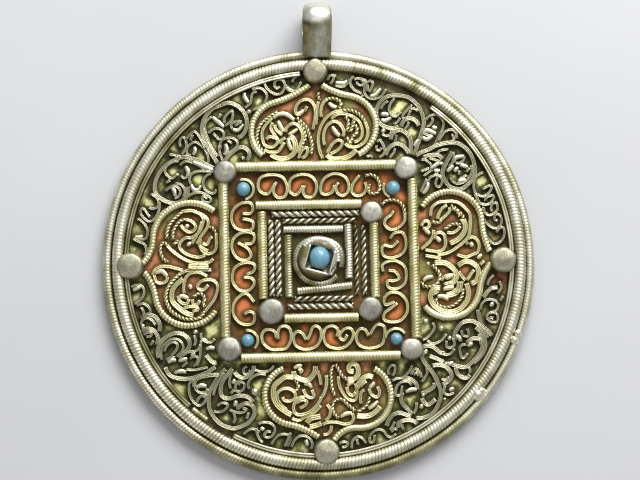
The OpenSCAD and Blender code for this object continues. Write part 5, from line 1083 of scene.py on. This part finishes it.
def ground_metal(name, tarnish_and_shade, middle, rubbed, stain_and_shadow, stain_and_shadow_places, metallic=0.55, always=0.0,
                 mottle=0.45):
    """A thin sheet under the scrolls, dark where they stand on it, which paints patina and their shade.
    stain_and_shadow shows through in places: stains, and in the lobes also painted shadows.
    """
    look = Look(name)
    patch = look.noise(0.5, 3, 0.6)
    fine = look.noise(3.0, 4, 0.7)
    clean_and_unshaded = look.math("MULTIPLY", look.attribute("crest"), 0.95)
    clean_and_unshaded = look.math("ADD", clean_and_unshaded, look.span(patch, 0.36, 0.64, always - mottle, always + 0.12))
    clean_and_unshaded = look.math("ADD", clean_and_unshaded, look.span(fine, 0.3, 0.7, -0.1, 0.1))
    # Painted shade: darker in corners and next to the scrolls, by ambient occlusion, which also stands for
    # patina there
    clean_and_unshaded = look.math("MULTIPLY", clean_and_unshaded, look.span(look.shade(1.2), 0.2, 0.8, 0.3, 1), True)
    colour = look.ramp(clean_and_unshaded, ((0.0, tarnish_and_shade), (0.45, middle), (0.85, rubbed)))
    for x, y, reach in stain_and_shadow_places:
        share = look.math("MULTIPLY", look.near(x, y, reach), look.span(patch, 0.25, 0.45))
        stained_and_shadowed = look.ramp(clean_and_unshaded, ((0.0, tarnish_and_shade), (0.5, stain_and_shadow)))
        colour = look.mix(share, colour, stained_and_shadowed)
    look.bump(fine, 0.03)
    return look.finish(colour, look.span(clean_and_unshaded, 0.0, 1.0, 0.7, 0.42), metallic)


def turquoise_stone():
    look = Look("turquoise")
    patch = look.noise(0.9, 4, 0.6)
    speck = look.noise(6.0, 2, 0.5)
    colour = look.ramp(patch, (
        (0.3, (0.10, 0.28, 0.38)), (0.5, (0.145, 0.365, 0.48)), (0.72, (0.24, 0.46, 0.54))))
    colour = look.mix(look.span(speck, 0.68, 0.78), colour, (0.07, 0.2, 0.25))
    look.bump(speck, 0.02, 0.3)
    look.shader.inputs["Coat Weight"].default_value = 0.6
    look.shader.inputs["Coat Roughness"].default_value = 0.15
    return look.finish(colour, look.span(patch, 0.3, 0.7, 0.25, 0.4), 0.0)


OLIVE = (0.065, 0.057, 0.02)
SILVER = worn_and_shaded_metal(
    "silver", OLIVE, (0.34, 0.32, 0.16), (0.87, 0.85, 0.68), rough=(0.55, 0.3), grain_depth=0.01)
ROPE_SILVER = worn_and_shaded_metal("rope_silver", OLIVE, (0.26, 0.24, 0.12), (0.85, 0.82, 0.64), grain_depth=0.01)
SILVER_SCROLLS = worn_and_shaded_metal(
    "silver_scrolls", OLIVE, (0.28, 0.27, 0.13), (0.77, 0.75, 0.53), grain_depth=0.006)
BRASS = worn_and_shaded_metal(
    "brass", (0.075, 0.055, 0.015), (0.40, 0.35, 0.11), (0.89, 0.84, 0.50), rough=(0.5, 0.28),
    grain_depth=0.01)
BRASS_SCROLLS = worn_and_shaded_metal(
    "brass_scrolls", (0.08, 0.06, 0.014), (0.56, 0.50, 0.18), (0.98, 0.93, 0.55), grain_depth=0.008)
DOME_SILVER = worn_and_shaded_metal(
    "dome_silver", (0.12, 0.11, 0.06), (0.26, 0.25, 0.20), (0.60, 0.58, 0.49), rough=(0.6, 0.42),
    grain=2.5, stretch=(1, 0.45, 1, 35))
RIM_DOME_SILVER = worn_and_shaded_metal(
    "rim_dome_silver", (0.12, 0.11, 0.06), (0.28, 0.27, 0.19), (0.66, 0.64, 0.46), rough=(0.6, 0.42),
    grain=3.0)
BEZEL_METAL = worn_and_shaded_metal(
    "bezel_metal", (0.02, 0.017, 0.006), (0.22, 0.19, 0.08), (0.95, 0.93, 0.82), grain_depth=0.01)
BAIL_SILVER = worn_and_shaded_metal(
    "bail_silver", (0.10, 0.09, 0.035), (0.38, 0.36, 0.22), (0.85, 0.84, 0.74), always=0.1,
    rough=(0.5, 0.3), reach=1.5, grain=1.6, grain_depth=0.05, stretch=(1, 0.35, 0.35, 20))
# Where a sheet has stains, and in the lobes also painted shadows. Columns: x, y, reach
BRASS_STAINS = ((27.0, -1.5, 6.0), (-27.0, 0.2, 2.5))
# The places at (22.8, 5.0), (16.4, -1.2) and (17.2, -4.5) paint shadows in the right lobe
LOBE_STAINS_AND_SHADOWS = (
    (7.0, -23.5, 7.0), (-2.0, -26.0, 4.0), (27.0, 3.0, 5.0), (8.8, 19.5, 3.6), (22.8, 5.0, 2.8),
    (16.4, -1.2, 2.6), (17.2, -4.5, 2.4), (-22.5, 7.0, 3.0), (4.5, 24.5, 2.5),
)
COPPER_STAINS = ((0.0, 0.0, 10.0), (4.5, -11.2, 2.2), (-11.5, 4.0, 1.5))
BRASS_GROUND = ground_metal(
    "brass_ground", (0.055, 0.052, 0.015), (0.20, 0.20, 0.055), (0.80, 0.79, 0.36), (0.42, 0.15, 0.07),
    BRASS_STAINS)
LOBE_GROUND = ground_metal(
    "lobe_ground", (0.13, 0.075, 0.025), (0.33, 0.135, 0.048), (0.62, 0.26, 0.12), (0.30, 0.28, 0.08),
    LOBE_STAINS_AND_SHADOWS, mottle=0.25)
COPPER_GROUND = ground_metal(
    "copper_ground", (0.09, 0.07, 0.02), (0.46, 0.145, 0.032), (0.73, 0.225, 0.072), (0.11, 0.125, 0.03),
    COPPER_STAINS, mottle=0.12)
BACK_BRASS = ground_metal(
    "back_brass", (0.06, 0.05, 0.02), (0.28, 0.26, 0.12), (0.50, 0.47, 0.26), (0.3, 0.2, 0.1), (),
    metallic=0.7, always=0.5)
TURQUOISE = turquoise_stone()

# Pieces

# Lumps of solder on the inner rim wire. Columns: x, y, radius, height above the wire
SOLDER = ((23.7, -19.8, 0.8, 0.2), (23.2, -20.3, 1.15, 0.25), (29.5, -11.3, 0.7, 0), (29.0, -12.3, 0.8, 0.1))
# Long stretches of the flat strip, and a short one of wound wire. Columns: start angle, end angle
STRIPS = ((94.5, 227), (242.6, 413.4))
WOUND_STRIP = (228.2, 233.6)
# Diameter of the two upright bars of the pinwheel
UPRIGHT_BAR_D = 1.3
# How bright each rope of a pair is, where 0 is middling and a number below it is darker
ROPE_TONES = {"top": (2.2, -0.8), "left": (2, 1.4), "right": (-2.5, -0.8), "bottom": (-0.6, 1.4)}
ROPE_LAY = 2.2
# Ribbons of the filigree. Columns: width, strands
RIBBONS = {"s": (0.47, 2), "w": (0.74, 3)}
LEAF_W = 0.66
TWIST_D = 0.6
TWIST_LAY = 1.2
# How the ribbons of a lobe and of a field differ. Columns: share of the width, depth of the groove
LOBE_RIBBONS = (1.08, 0.2)
FIELD_RIBBONS = (0.86, 0.26)
# Wires that cross lie at four heights, this far apart
WIRE_STEP = 0.09
# Size of the squares that the sheets under the filigree are made of, and how far those of a field
# reach from the middle of the disc
GROUND_STEP = 0.25
FIELD_REACH = 28.75
# Places where the brass ground is rubbed bright. Columns: x, y
BRIGHT_PLACES = (
    (8.8, 26.1), (14.2, 20.0), (24.7, 12.4), (12.3, 23.1), (20.9, 13.2), (21.1, 11.2),
    (-15.7, 18.3), (-17.7, 16.0), (-21.8, 14.2), (-18, 13.2), (-12.9, 16.2), (-25.3, 9.4), (-9.7, 25.3),
    (-8.8, -22.1), (-4.6, -27.9), (-2.7, -27.6), (11.3, -25.2), (9.4, -27.4), (-24.5, 6.7), (-27.7, -5.1),
    (18.7, -17.1), (19.5, -12.6), (26.1, -9.9), (10.2, -26.7), (-15.9, -9.8),
)
# The bezel from its foot to the edge of its hole. Columns: radius, height, crest
BEZEL_CONE = (
    (3.6, ON_SHEET, 0.1), (3.65, 1.6, 0.25), (3.6, 1.9, 0.35), (3.35, 2.2, 0.3), (3.1, 2.7, 0.3),
    (2.95, 3.15, 0.35), (2.85, 3.36, 0.4),
)
# The bezel's hole from its edge down. Columns: share of its width, height, crest
BEZEL_HOLE = ((1.06, 3.34, 0.6), (1.0, 3.25, 0.7), (1.0, 2.7, 0.8), (0.95, 2.45, 0.7), (0.6, 2.4, 0.6))
# The wire round the bezel. Columns: x, y, height
BEZEL_WIRE = (
    (2.55, -2.05, 1.9), (1.2, -3.0, 1.9), (-0.5, -3.2, 1.9), (-2.4, -2.3, 1.95), (-3.45, -0.6, 2.05),
    (-3.35, 1.3, 2.25), (-2.3, 2.8, 2.55), (-0.6, 3.35, 2.8), (1.3, 3.1, 2.85), (2.8, 2.2, 2.75),
    (3.35, 0.7, 2.6), (3.2, -0.9, 2.45),
)
# A loose strand on the bezel. Columns: x, y
BEZEL_STRAND = ((2.5, 1.3), (2.5, 0.2), (2.2, -1.0), (1.6, -2.1))


def blob(parts, x, y, r, foot, top):
    """A lump of solder, or a grain of metal."""
    angles = np.radians(np.arange(0, 91, 15))
    profile = [(r * math.cos(a) + 0.001, foot + (top - foot) * math.sin(a)) for a in angles]
    phase = RNG.uniform(0, 6)

    def dent(angle, step):
        return 0.06 * np.sin(2 * angle + phase) * (1 - step), 0

    revolve(parts, x, y, [(r * 0.8, foot - 0.2)] + profile, 20, 1.0, dent)


def round_the_ring(least, *stretches):
    """A function that gives a number from 0 to 1 for places on a ring: the least, and more of it
    in stretches. Columns of a stretch: share, middle angle, half width."""
    def share_at(places, *_):
        a = np.degrees(np.arctan2(places[..., 1], places[..., 0])) % 360
        share = sum(peak * np.exp(-(((a - middle) / half) ** 2)) for peak, middle, half in stretches)
        return np.clip(share + least, 0, 1)
    return share_at


def spread(path):
    """The inner wire and the strip lie a little further out at the upper right."""
    furthest, middle, half = 0.4, 38, 45
    a = np.degrees(np.arctan2(path[:, 1], path[:, 0]))
    outward = furthest * np.exp(-(((a - middle) / half) ** 2))
    return path * (1 + outward / np.hypot(*path.T))[:, None]


def rim_wires():
    # Columns: name, path, diameter, pitch, sides, where the ridges are rubbed away, where the wire
    # is darker, where its inner side is darker
    rings = (
        ("outer", circle(OUTER_WIRE_R), OUTER_WIRE_D, 0.46, 14,
         round_the_ring(0.75, (-0.5, 230, 32), (0.2, 315, 25)),
         round_the_ring(0, (0.6, 262, 35), (0.25, 300, 30), (0.45, 92, 7), (0.2, 185, 20), (0.3, 42, 30)),
         round_the_ring(0.2, (0.4, 145, 30))),
        ("inner", spread(circle(INNER_WIRE_R)), INNER_WIRE_D, 0.51, 16,
         round_the_ring(0.6, (0.2, 145, 32), (-0.5, 230, 28), (-0.45, 52, 34)),
         round_the_ring(0, (0.35, 270, 9), (0.7, 60, 1.5), (0.5, 71, 1), (0.6, 78.5, 0.7)),
         round_the_ring(0.35, (0.6, 62, 30))),
    )
    for name, path, d, pitch, sides, rubbed, patches, inner_side in rings:
        # Darker patches: patina, a painted shadow of the bail at the top, painted shade in the gaps between
        # loose turns and a painted dark reflection at the lower left. The darker inner side paints shade and
        # patina.
        def dull(places, phi):
            return np.maximum(patches(places), inner_side(places) * np.clip(1.35 - phi / 1.05, 0, 1))

        parts = Parts()
        wound(parts, path, d, ON_PLATE + d / 2, pitch, -2, True, sides=sides, depth=0.17, smooth=rubbed,
              dull=dull, dark=0.75, flat=0.85)
        if name == "inner":
            for x, y, r, above in SOLDER:
                blob(parts, x, y, r, ON_PLATE + d * 0.4, ON_PLATE + d + above)
        parts.build(f"{name}_rim_wire", SILVER, f"rim_{name}_wire")


def rim_strip():
    parts = Parts()
    r = STRIP_OUT - STRIP_T / 2
    top = ON_PLATE + STRIP_H

    def stretch(a0, a1):
        path = spread(arc(0, 0, r, r, a0, a1, 0.3))
        # Darker at the left, and a little at the upper right
        x, y = path[:, :1], path[:, 1:]
        tone = -2.5 * rise(x, -10, -22) - 1.2 * rise(x, 8, 14) * rise(y, 4, 10)
        ribbon(parts, path, STRIP_T, 2, ON_PLATE, top, groove=0.08, tone=tone)

    stretch(*STRIPS[0])
    wound(parts, arc(0, 0, r, r, *WOUND_STRIP, 0.3), d=0.85, middle_z=top - 0.4, pitch=0.42, depth=0.1,
          dull=lambda *at: 0.3)
    stretch(*STRIPS[1])
    parts.build("flat_strip", SILVER, "rim_strip")


def bars():
    """The wound bars of the two squares and of the pinwheel."""
    # Columns: kind, rows, diameter, pitch, starts, how much longer than in the source, metal, slot
    kinds = (
        ("outer_bar", OUTER_BARS, OUTER_BAR_D, 0.47, 3, 0.5, BRASS, "brass"),
        ("inner_bar", INNER_BARS, INNER_BAR_D, 0.42, 2, 0.4, BRASS, "brass"),
        ("silver_bar", SILVER_BARS, SILVER_BAR_D, 0.4, 2, 0, SILVER, "silver"),
    )
    for kind, rows, d, pitch, starts, longer, material, slot in kinds:
        silver = kind == "silver_bar"
        for side, (x, y, length, turn) in rows.items():
            upright = turn == 90
            wide = UPRIGHT_BAR_D if silver and upright else d
            depth = 0.18 if silver else 0.09 if upright else 0.055

            # The left and bottom silver bars are darker all over. The upright brass bars are a little darker
            # all over and more on their left side, the others on their lower side: painted shade on the
            # sides away from the light.
            def dull(places, phi):
                if silver:
                    return {"left": 0.5, "bottom": 0.3}.get(side, 0)
                if upright:
                    return 0.15 + 0.4 * rise(phi, 1.3, 0.3)
                return 0.35 * rise(phi, 1.8, 2.6)

            parts = Parts()
            wound(parts, straight(x, y, length + longer, turn), wide, ON_SHEET + wide / 2, pitch, starts,
                  depth=depth, dull=dull)
            parts.build(f"wound_{kind}_{side}", material, f"{kind}_{side}")


def ropes():
    for side, rows in ROPES.items():
        parts = Parts()
        for tone, (x, y, length, turn, hand) in zip(ROPE_TONES[side], rows):
            wide = ROPE_D - 0.06 * (1 - tone)
            twist(parts, straight(x, y, length, turn), wide, ON_SHEET, ROPE_LAY, hand, 8, 16, tone)
        parts.build(f"twisted_ropes_{side}", ROPE_SILVER, f"ropes_pair_{side}")


def lobe_wires():
    def rubbed(places, phi):
        x, y = places[..., 0], places[..., 1]
        right_lobe = rise(x, 15, 17) * rise(y, 2, -1)
        low_lobe = rise(x, 1, 4) * rise(y, -20, -22)
        left_lobe = 0.65 * rise(x, -15, -17) * rise(y, 0, 3)
        top_lobe = 0.4 * rise(y, 15, 17)
        return np.clip(right_lobe + low_lobe + left_lobe + top_lobe, 0, 0.95)

    for side, pair in LOBES.items():
        parts = Parts()
        for half in pair:
            wound(parts, half_lobe(half), LOBE_WIRE_D, ON_SHEET + LOBE_WIRE_D / 2, 0.5, sides=12,
                  depth=0.2, smooth=rubbed, dark=0.75, flat=0.75)
        parts.build(f"wound_lobe_wire_{side}", BRASS, f"lobe_wire_{side}")


def draw_wires(parts, wires, foot, highest, gain=1.0, groove=0.2):
    """Filigree wires, whose ribbons are gain times as wide as RIBBONS says."""
    for k, (kind, path) in enumerate(wires):
        top = highest - WIRE_STEP * (k % 4)
        if kind == "t":
            strip(parts, path, 0.2, foot, top - TWIST_D / 2)
            twist(parts, path, TWIST_D, top - TWIST_D, TWIST_LAY)
        elif kind == "b":
            leaf(parts, path, foot, top - 0.05)
        else:
            width, strands = RIBBONS[kind]
            ribbon(parts, path, width * gain, strands, foot, top, groove)


def hearts():
    for side, wires in HEART_PATHS.items():
        parts = Parts()
        draw_wires(parts, wires, ON_SHEET, ON_SHEET + SCROLL_H)
        parts.build(f"hearts_{side}", BRASS_SCROLLS, f"hearts_row_{side}")


def bead_loops():
    parts = Parts()
    for row in BEAD_LOOPS:
        ribbon(parts, arc(*row, 0.15), 0.4, 2, ON_SHEET, ON_SHEET + SCROLL_H)
    parts.build("bead_loops", BRASS_SCROLLS, "bead_wires")


def scrolls(field):
    """The filigree of a field between the lobes, or of a lobe."""
    parts = Parts()
    lobe = field in SIDES
    draw_wires(parts, WIRE_PATHS[field], SCROLL_FOOT, SCROLL_TOP, *(LOBE_RIBBONS if lobe else FIELD_RIBBONS))
    for x, y, r in GRAINS.get(field, ()):
        blob(parts, x, y, 0.85 * r, SCROLL_TOP - 0.6 * r, SCROLL_TOP + 0.25 * r)
    metal, material = ("brass", BRASS_SCROLLS) if lobe else ("silver", SILVER_SCROLLS)
    parts.build(f"{metal}_scrolls_{field}", material, f"{metal}_panel_{field}")


def ground(name, keep, paths, material, node, box, limit=None, open_places=None):
    """A thin sheet that covers the squares of a grid that keep() takes. Its crest is low near the
    wires that stand on it, which paints patina and their shadows, and where open_places() is below 1.
    limit is the largest radius that it may reach."""
    xs = np.arange(box[0], box[2] + GROUND_STEP, GROUND_STEP)
    ys = np.arange(box[1], box[3] + GROUND_STEP, GROUND_STEP)
    grid = np.stack(np.meshgrid(xs, ys, indexing="ij"), -1)
    middle = (grid[:-1, :-1] + grid[1:, 1:]) / 2
    kept = keep(middle.reshape(-1, 2)).reshape(middle.shape[:2])
    index = np.arange(grid.shape[0] * grid.shape[1]).reshape(grid.shape[:2])
    quads = np.stack([index[:-1, :-1], index[1:, :-1], index[1:, 1:], index[:-1, 1:]], -1)[kept]
    used, quads = np.unique(quads, return_inverse=True)
    places = grid.reshape(-1, 2)[used]
    if limit:
        places = places * np.minimum(1, limit / np.linalg.norm(places, axis=1))[:, None]
    stand = np.concatenate(paths)
    batch = 4000
    away = np.concatenate([
        np.sqrt(((places[start:start + batch, None] - stand[None]) ** 2).sum(-1).min(1))
        for start in range(0, len(places), batch)])
    # Lower near the wires: painted shadow and patina
    crest = rise(away, 0.3, 1.05)
    if open_places is not None:
        crest *= open_places(places)
    for x, y in BRIGHT_PLACES:
        near = np.exp(-((places - (x, y)) ** 2).sum(1) / 0.8)
        crest = np.maximum(crest, 1.4 * near * rise(away, 0.15, 0.55))
    wave = 0.02 * np.sin(places[:, 0] * 2.1 + 1) * np.sin(places[:, 1] * 1.7)
    parts = Parts()
    parts.add_points(np.column_stack([places, ON_PLATE + SHEET_T - 0.02 + wave]), crest, 0.5)
    parts.add_faces(quads.reshape(-1, 4))
    parts.build(name, material, node)


def grounds():
    half = OUTER_BAR_D / 2
    left, right = OUTER_BARS["left"][0], OUTER_BARS["right"][0]
    low, high = OUTER_BARS["bottom"][1], OUTER_BARS["top"][1]

    def in_square(p, more):
        """Which places lie in the outer square, out to the middles of its bars and this much more."""
        x, y = p[:, 0], p[:, 1]
        return (x > left - more) & (x < right + more) & (y > low - more) & (y < high + more)

    outlines = [lobe_outline(side, 0.0) for side in SIDES]
    lobe_paths = [half_lobe(h) for pair in LOBES.values() for h in pair]
    for corner, (sx, sy) in zip(CORNERS, ((-1, 1), (1, 1), (-1, -1), (1, -1))):
        def in_field(p):
            good = (p[:, 0] * sx > 0) & (p[:, 1] * sy > 0) & (np.hypot(p[:, 0], p[:, 1]) < STRIP_IN + 0.1)
            good &= ~in_square(p, 0)
            for outline in outlines:
                good &= ~inside(outline, p)
            return good

        x0, x1 = sorted((0, sx * FIELD_REACH))
        y0, y1 = sorted((0, sy * FIELD_REACH))
        ground(f"field_ground_{corner}", in_field, [path for _, path in WIRE_PATHS[corner]] + lobe_paths,
               BRASS_GROUND, f"silver_panel_{corner}", (x0, y0, x1, y1), limit=STRIP_IN - SEAM)
    for side in SIDES:
        outline = lobe_outline(side, 0.3)

        def in_lobe(p):
            return inside(outline, p) & ~in_square(p, 0)

        ground(f"lobe_ground_{side}", in_lobe, [path for _, path in WIRE_PATHS[side]] + lobe_paths,
               LOBE_GROUND, f"brass_panel_{side}", (*outline.min(0), *outline.max(0)))
    heart_paths = [path for wires in HEART_PATHS.values() for _, path in wires]
    bar_paths = [along(straight(*row), np.linspace(0, row[2], 60))[0]
                 for group in (OUTER_BARS, INNER_BARS, SILVER_BARS) for row in group.values()]
    # All but the last wire: the copper in the lower right heart is left dark, unlike in the photo
    hearts_at = np.array([path.mean(0) for path in heart_paths[:-1]])

    def in_hearts(places):
        """The copper is bright only inside the hearts. Outside them it is darker, which paints patina and
        the hearts' shadows.
        """
        away = np.linalg.norm(places[:, None] - hearts_at[None], axis=2).min(1)
        return np.clip(2.6 - away, 0.15, 1)

    ground("square_ground", lambda p: in_square(p, half - 0.55), heart_paths + bar_paths, COPPER_GROUND,
           "square_sheet", (left - half, low - half, right + half, high + half),
           open_places=in_hearts)


def domes():
    # Columns: group, rows, foot, metal
    groups = (
        ("rim", RIM_DOMES, ON_PLATE, RIM_DOME_SILVER),
        ("outer", OUTER_DOMES, ON_PLATE, DOME_SILVER),
        ("inner", INNER_DOMES, ON_SHEET, DOME_SILVER),
    )
    for group, rows, foot, material in groups:
        for where, (x, y, r) in rows.items():
            parts = Parts()
            hammered_dome(parts, x, y, r, foot, 1.4 if where == "tr" else 0)
            parts.build(f"silver_{group}_dome_{where}", material, f"{group}_dome_{where}")


def hammered_dome(parts, x, y, r, foot, bright):
    """A ball beaten nearly flat on top, a little out of round. bright is its tone."""
    phase = RNG.uniform(0, 2 * np.pi, 4)
    size = RNG.uniform(0.006, 0.02, 4)

    def dent(angle, step):
        dr = sum(s * np.cos((k + 2) * angle + p) for k, (s, p) in enumerate(zip(size, phase)))
        dz = 0.05 * np.sin(2 * angle + phase[0]) * np.sin(step * 3) * step
        return dr - 0.01, dz - 0.06

    profile = [(r * 0.96, foot), (r, foot + 0.5)]
    for t in np.radians(np.arange(0, 81, 10)):
        profile.append((r * (0.7 + 0.3 * math.cos(t)), DOME_TOP - 0.65 + 0.5 * math.sin(t)))
    for share in (0.6, 0.4, 0.2, 0.01):
        profile.append((r * share, DOME_TOP - 0.3 * share ** 2))
    # Dim at the foot and on the wall: painted shade and patina
    crest = [0.2, 0.4] + [0.6] * 6 + [0.8, 0.75, 0.7] + [0.65] * 4
    revolve(parts, x, y, profile, 40, crest, dent, bright)


def stones():
    # Columns: name, x, y, radius, how oval
    rows = {f"bead_{corner}": (f"turquoise_bead_{corner}", *BEADS[corner], 0) for corner in CORNERS}
    rows["centre_stone"] = ("turquoise_centre", *STONE_AT, 0.08)
    for node, (name, x, y, r, oval) in rows.items():
        phase = RNG.uniform(0, 6, 3)[0]
        profile = [(r * math.sin(math.radians(a)) + 0.001, ON_SHEET + r - r * math.cos(math.radians(a)))
                   for a in range(4, 181, 8)]

        def dent(angle, step):
            return oval - 0.045 + 0.015 * np.sin(2 * angle + phase) - oval * np.cos(2 * angle), -0.02

        parts = Parts()
        revolve(parts, x, y, profile, 32, 1.0, dent)
        parts.build(name, TURQUOISE, node)


def bezel():
    """A cone with a square hole that holds the stone, a wire wound round it and lips at the hole."""
    around = 96
    angle = np.linspace(0, 2 * np.pi, around, endpoint=False)
    turn = angle - math.radians(HOLE_TURN)
    square = HOLE_W / 2 / np.maximum(np.abs(np.cos(turn)), np.abs(np.sin(turn)))
    rows = [(BEZEL_AT, r, z) for r, z, _ in BEZEL_CONE]
    rows += [(HOLE_AT, share * square, z) for share, z, _ in BEZEL_HOLE]
    points = np.array([np.column_stack([x + r * np.cos(angle), y + r * np.sin(angle), np.full(around, z)])
                       for (x, y), r, z in rows])
    # Dimmest at the foot of the cone: painted shade and patina
    crest = np.array([row[2] for row in BEZEL_CONE + BEZEL_HOLE])[:, None] * np.ones(around)
    parts = Parts()
    parts.grid(points[::-1], crest[::-1], caps=False)
    wire = np.array(BEZEL_WIRE)
    turns = spline(wire[:, :2], 0.15)
    climb = np.interp(np.linspace(0, 1, len(turns)), np.linspace(0, 1, len(wire)), wire[:, 2])
    wound(parts, turns, d=1.0, middle_z=climb + 0.15, pitch=0.4, depth=0.05,
          dull=lambda places, phi: 0.45 * rise(places[..., 1], 1.9, -0.6))
    wound(parts, arc(*BEZEL_AT, 2.95, 2.7, -12, 140), d=1.2, middle_z=2.85, pitch=0.42, depth=0.06)
    wound(parts, spline(np.array(BEZEL_STRAND)), d=0.5, middle_z=3.1, pitch=0.5, sides=12, depth=0.02,
          rng=np.random.default_rng(3))
    corners = [np.array(HOLE_AT) + (HOLE_W / 2 + 0.14) * math.sqrt(2) * np.array([math.cos(a), math.sin(a)])
               for a in np.radians(HOLE_TURN + 45 + 90 * np.arange(4))]
    for a, b, wide in ((1, 2, 0.26), (2, 3, 0.36), (3, 0, 0.26)):
        lip = corners[a] + (corners[b] - corners[a]) * np.linspace(0.02, 0.98, 8)[:, None]
        strip(parts, lip, wide, 2.2, 3.45)
    parts.build("silver_bezel", BEZEL_METAL, "bezel")


def bail():
    """A band bent round the eye and domed across, which runs down onto the rim."""
    # Side view of the middle of the band, seen from the eye: y, z
    tip_y, tip_low, tip_high = -5.6, -0.84, -0.22
    meet = math.degrees(math.atan2(tip_high, tip_y) - math.acos(BAIL_R / math.hypot(tip_y, tip_high))) + 360
    low_y = -math.sqrt(BAIL_R ** 2 - tip_low ** 2)
    low = math.degrees(math.atan2(tip_low, low_y)) + 360
    ring = arc(0, 0, BAIL_R, BAIL_R, low - 360, meet)
    corners = np.array([ring[-1], (tip_y, tip_high), (tip_y + 0.1, tip_low), (low_y, tip_low)])
    foot = [a + (b - a) * np.linspace(0, 1, n, endpoint=False)[:, None]
            for a, b, n in zip(corners, corners[1:], (14, 4, 8))]
    outline = np.vstack([ring[:-1]] + foot)
    y = outline[:, 0]
    away = np.linalg.norm(outline, axis=1)
    on_foot = rise(away, BAIL_R, BAIL_R + 1.5)
    high = np.clip(y / BAIL_R, 0, 1) ** 3
    below = rise(y, -0.4, -1.2)
    rows, crests = [], []
    for u in np.linspace(-1, 1, 15):
        drop = (0.64 - 0.42 * high) * abs(u) ** 2.4 * (1 - 0.5 * on_foot) + 0.46 * high
        half = BAIL_HALF * (1 - 0.06 * on_foot * (u > 0)) - 0.75 * high
        side = outline * (1 - np.maximum(drop, 0) / away)[:, None]
        rows.append(np.column_stack([BAIL_X + half * u, EYE_Y + side[:, 0], BAIL_R + side[:, 1]]))
        # A dark band below the bright top, which is a painted dark reflection, and the lower part darker,
        # most of all at the left, which paints a dark reflection and patina. Darker towards the edges too.
        band = np.exp(-((y + 1.3 - 0.5 * u) / 0.7) ** 2)
        crest = 1 - 0.5 * abs(u) ** 3 - 0.5 * band - below * (0.35 + 0.4 * np.clip(0.2 - u, 0, 1))
        crests.append(np.clip(crest, 0, 1))
    # Both edges of the band run in to the left end of the eye
    eye = outline / away[:, None] * EYE_R
    end = np.column_stack([rows[0][:, 0], EYE_Y + eye[:, 0], BAIL_R + eye[:, 1]])
    dim = np.full(len(outline), 0.2)
    parts = Parts()
    parts.grid(np.stack([end] + rows + [end]), np.stack([dim] + crests + [dim]), ring=True)
    parts.build("silver_bail", BAIL_SILVER, "bail")


WIRE_PATHS = {field: read_wires(table) for field, table in WIRES.items()}
HEART_PATHS = {side: read_wires(table) for side, table in HEARTS.items()}
rim_wires()
rim_strip()
bars()
ropes()
lobe_wires()
hearts()
bead_loops()
for field in CORNERS + SIDES:
    scrolls(field)
grounds()
domes()
stones()
bezel()
bail()
plate = frame["nodes"]["back_plate"].data
plate.materials.clear()
plate.materials.append(BACK_BRASS)

# Floor, light and camera


def softbox(name, azimuth, elevation, distance, wide, high, radiance, colour=(1, 1, 1)):
    """A soft light that looks at the middle of the disc."""
    a, e = math.radians(azimuth), math.radians(elevation)
    place = Vector((math.cos(a) * math.cos(e), math.sin(a) * math.cos(e), math.sin(e))) * distance
    light = bpy.data.lights.new(name, "AREA")
    light.shape = "RECTANGLE"
    light.size = wide
    light.size_y = high
    light.energy = radiance * math.pi * wide * high
    light.color = colour
    lamp = bpy.data.objects.new(name, light)
    lamp.location = place
    lamp.rotation_euler = place.to_track_quat("Z", "Y").to_euler()
    bpy.context.scene.collection.objects.link(lamp)


def floor():
    look = Look("pale_floor")
    patch = look.noise(0.02, 2, 0.5)
    colour = look.ramp(patch, ((0.3, (0.585, 0.59, 0.60)), (0.7, (0.62, 0.625, 0.635))))
    material = look.finish(colour, 0.75, 0.0)
    half = 0.6
    mesh = bpy.data.meshes.new("floor")
    corners = ((-half, -half, 0), (half, -half, 0), (half, half, 0), (-half, half, 0))
    mesh.from_pydata(corners, [], [(0, 1, 2, 3)])
    mesh.materials.append(material)
    plane = bpy.data.objects.new("floor", mesh)
    bpy.context.scene.collection.objects.link(plane)


def camera():
    """The photograph's view: nearly straight down, from a little towards the disc's lower side."""
    distance = 0.26
    lean_x, lean_y, roll = math.radians(1.7), math.radians(6.47), math.radians(-1.27)
    image_w, image_h = 640, 480
    pixels_per_mm = 6.6021
    middle_x, middle_y = 318.82, 263.8
    back = Vector((-math.sin(lean_x), -math.sin(lean_y), 0))
    back.z = math.sqrt(1 - back.length_squared)
    right = (-back).cross(Vector((0, 1, 0))).normalized()
    up = right.cross(-back)
    c, s = math.cos(roll), math.sin(roll)
    right, up = right * c + up * s, up * c - right * s
    data = bpy.data.cameras.new("camera")
    data.sensor_width = 36
    data.lens = pixels_per_mm * distance / MM / image_w * data.sensor_width
    data.shift_x = (image_w / 2 - middle_x) / image_w
    data.shift_y = (middle_y - image_h / 2) / image_w
    view = bpy.data.objects.new("camera", data)
    view.matrix_world = Matrix((
        (right.x, up.x, back.x, back.x * distance),
        (right.y, up.y, back.y, back.y * distance),
        (right.z, up.z, back.z, back.z * distance),
        (0, 0, 0, 1)))
    bpy.context.scene.collection.objects.link(view)
    bpy.context.scene.camera = view


def world():
    made = bpy.data.worlds.new("studio")
    made.use_nodes = True
    made.node_tree.nodes["Background"].inputs["Color"].default_value = (0.94, 0.96, 1.0, 1)
    made.node_tree.nodes["Background"].inputs["Strength"].default_value = 0.4
    bpy.context.scene.world = made


floor()
world()
camera()
softbox("key", 70, 42, 0.42, 0.34, 0.26, 8.0)
softbox("overhead", 0, 88, 0.5, 0.3, 0.3, 0.5)
softbox("warm", 225, 14, 0.4, 0.3, 0.1, 1.2, (1.0, 0.72, 0.5))
bpy.context.scene.view_settings.view_transform = "Standard"
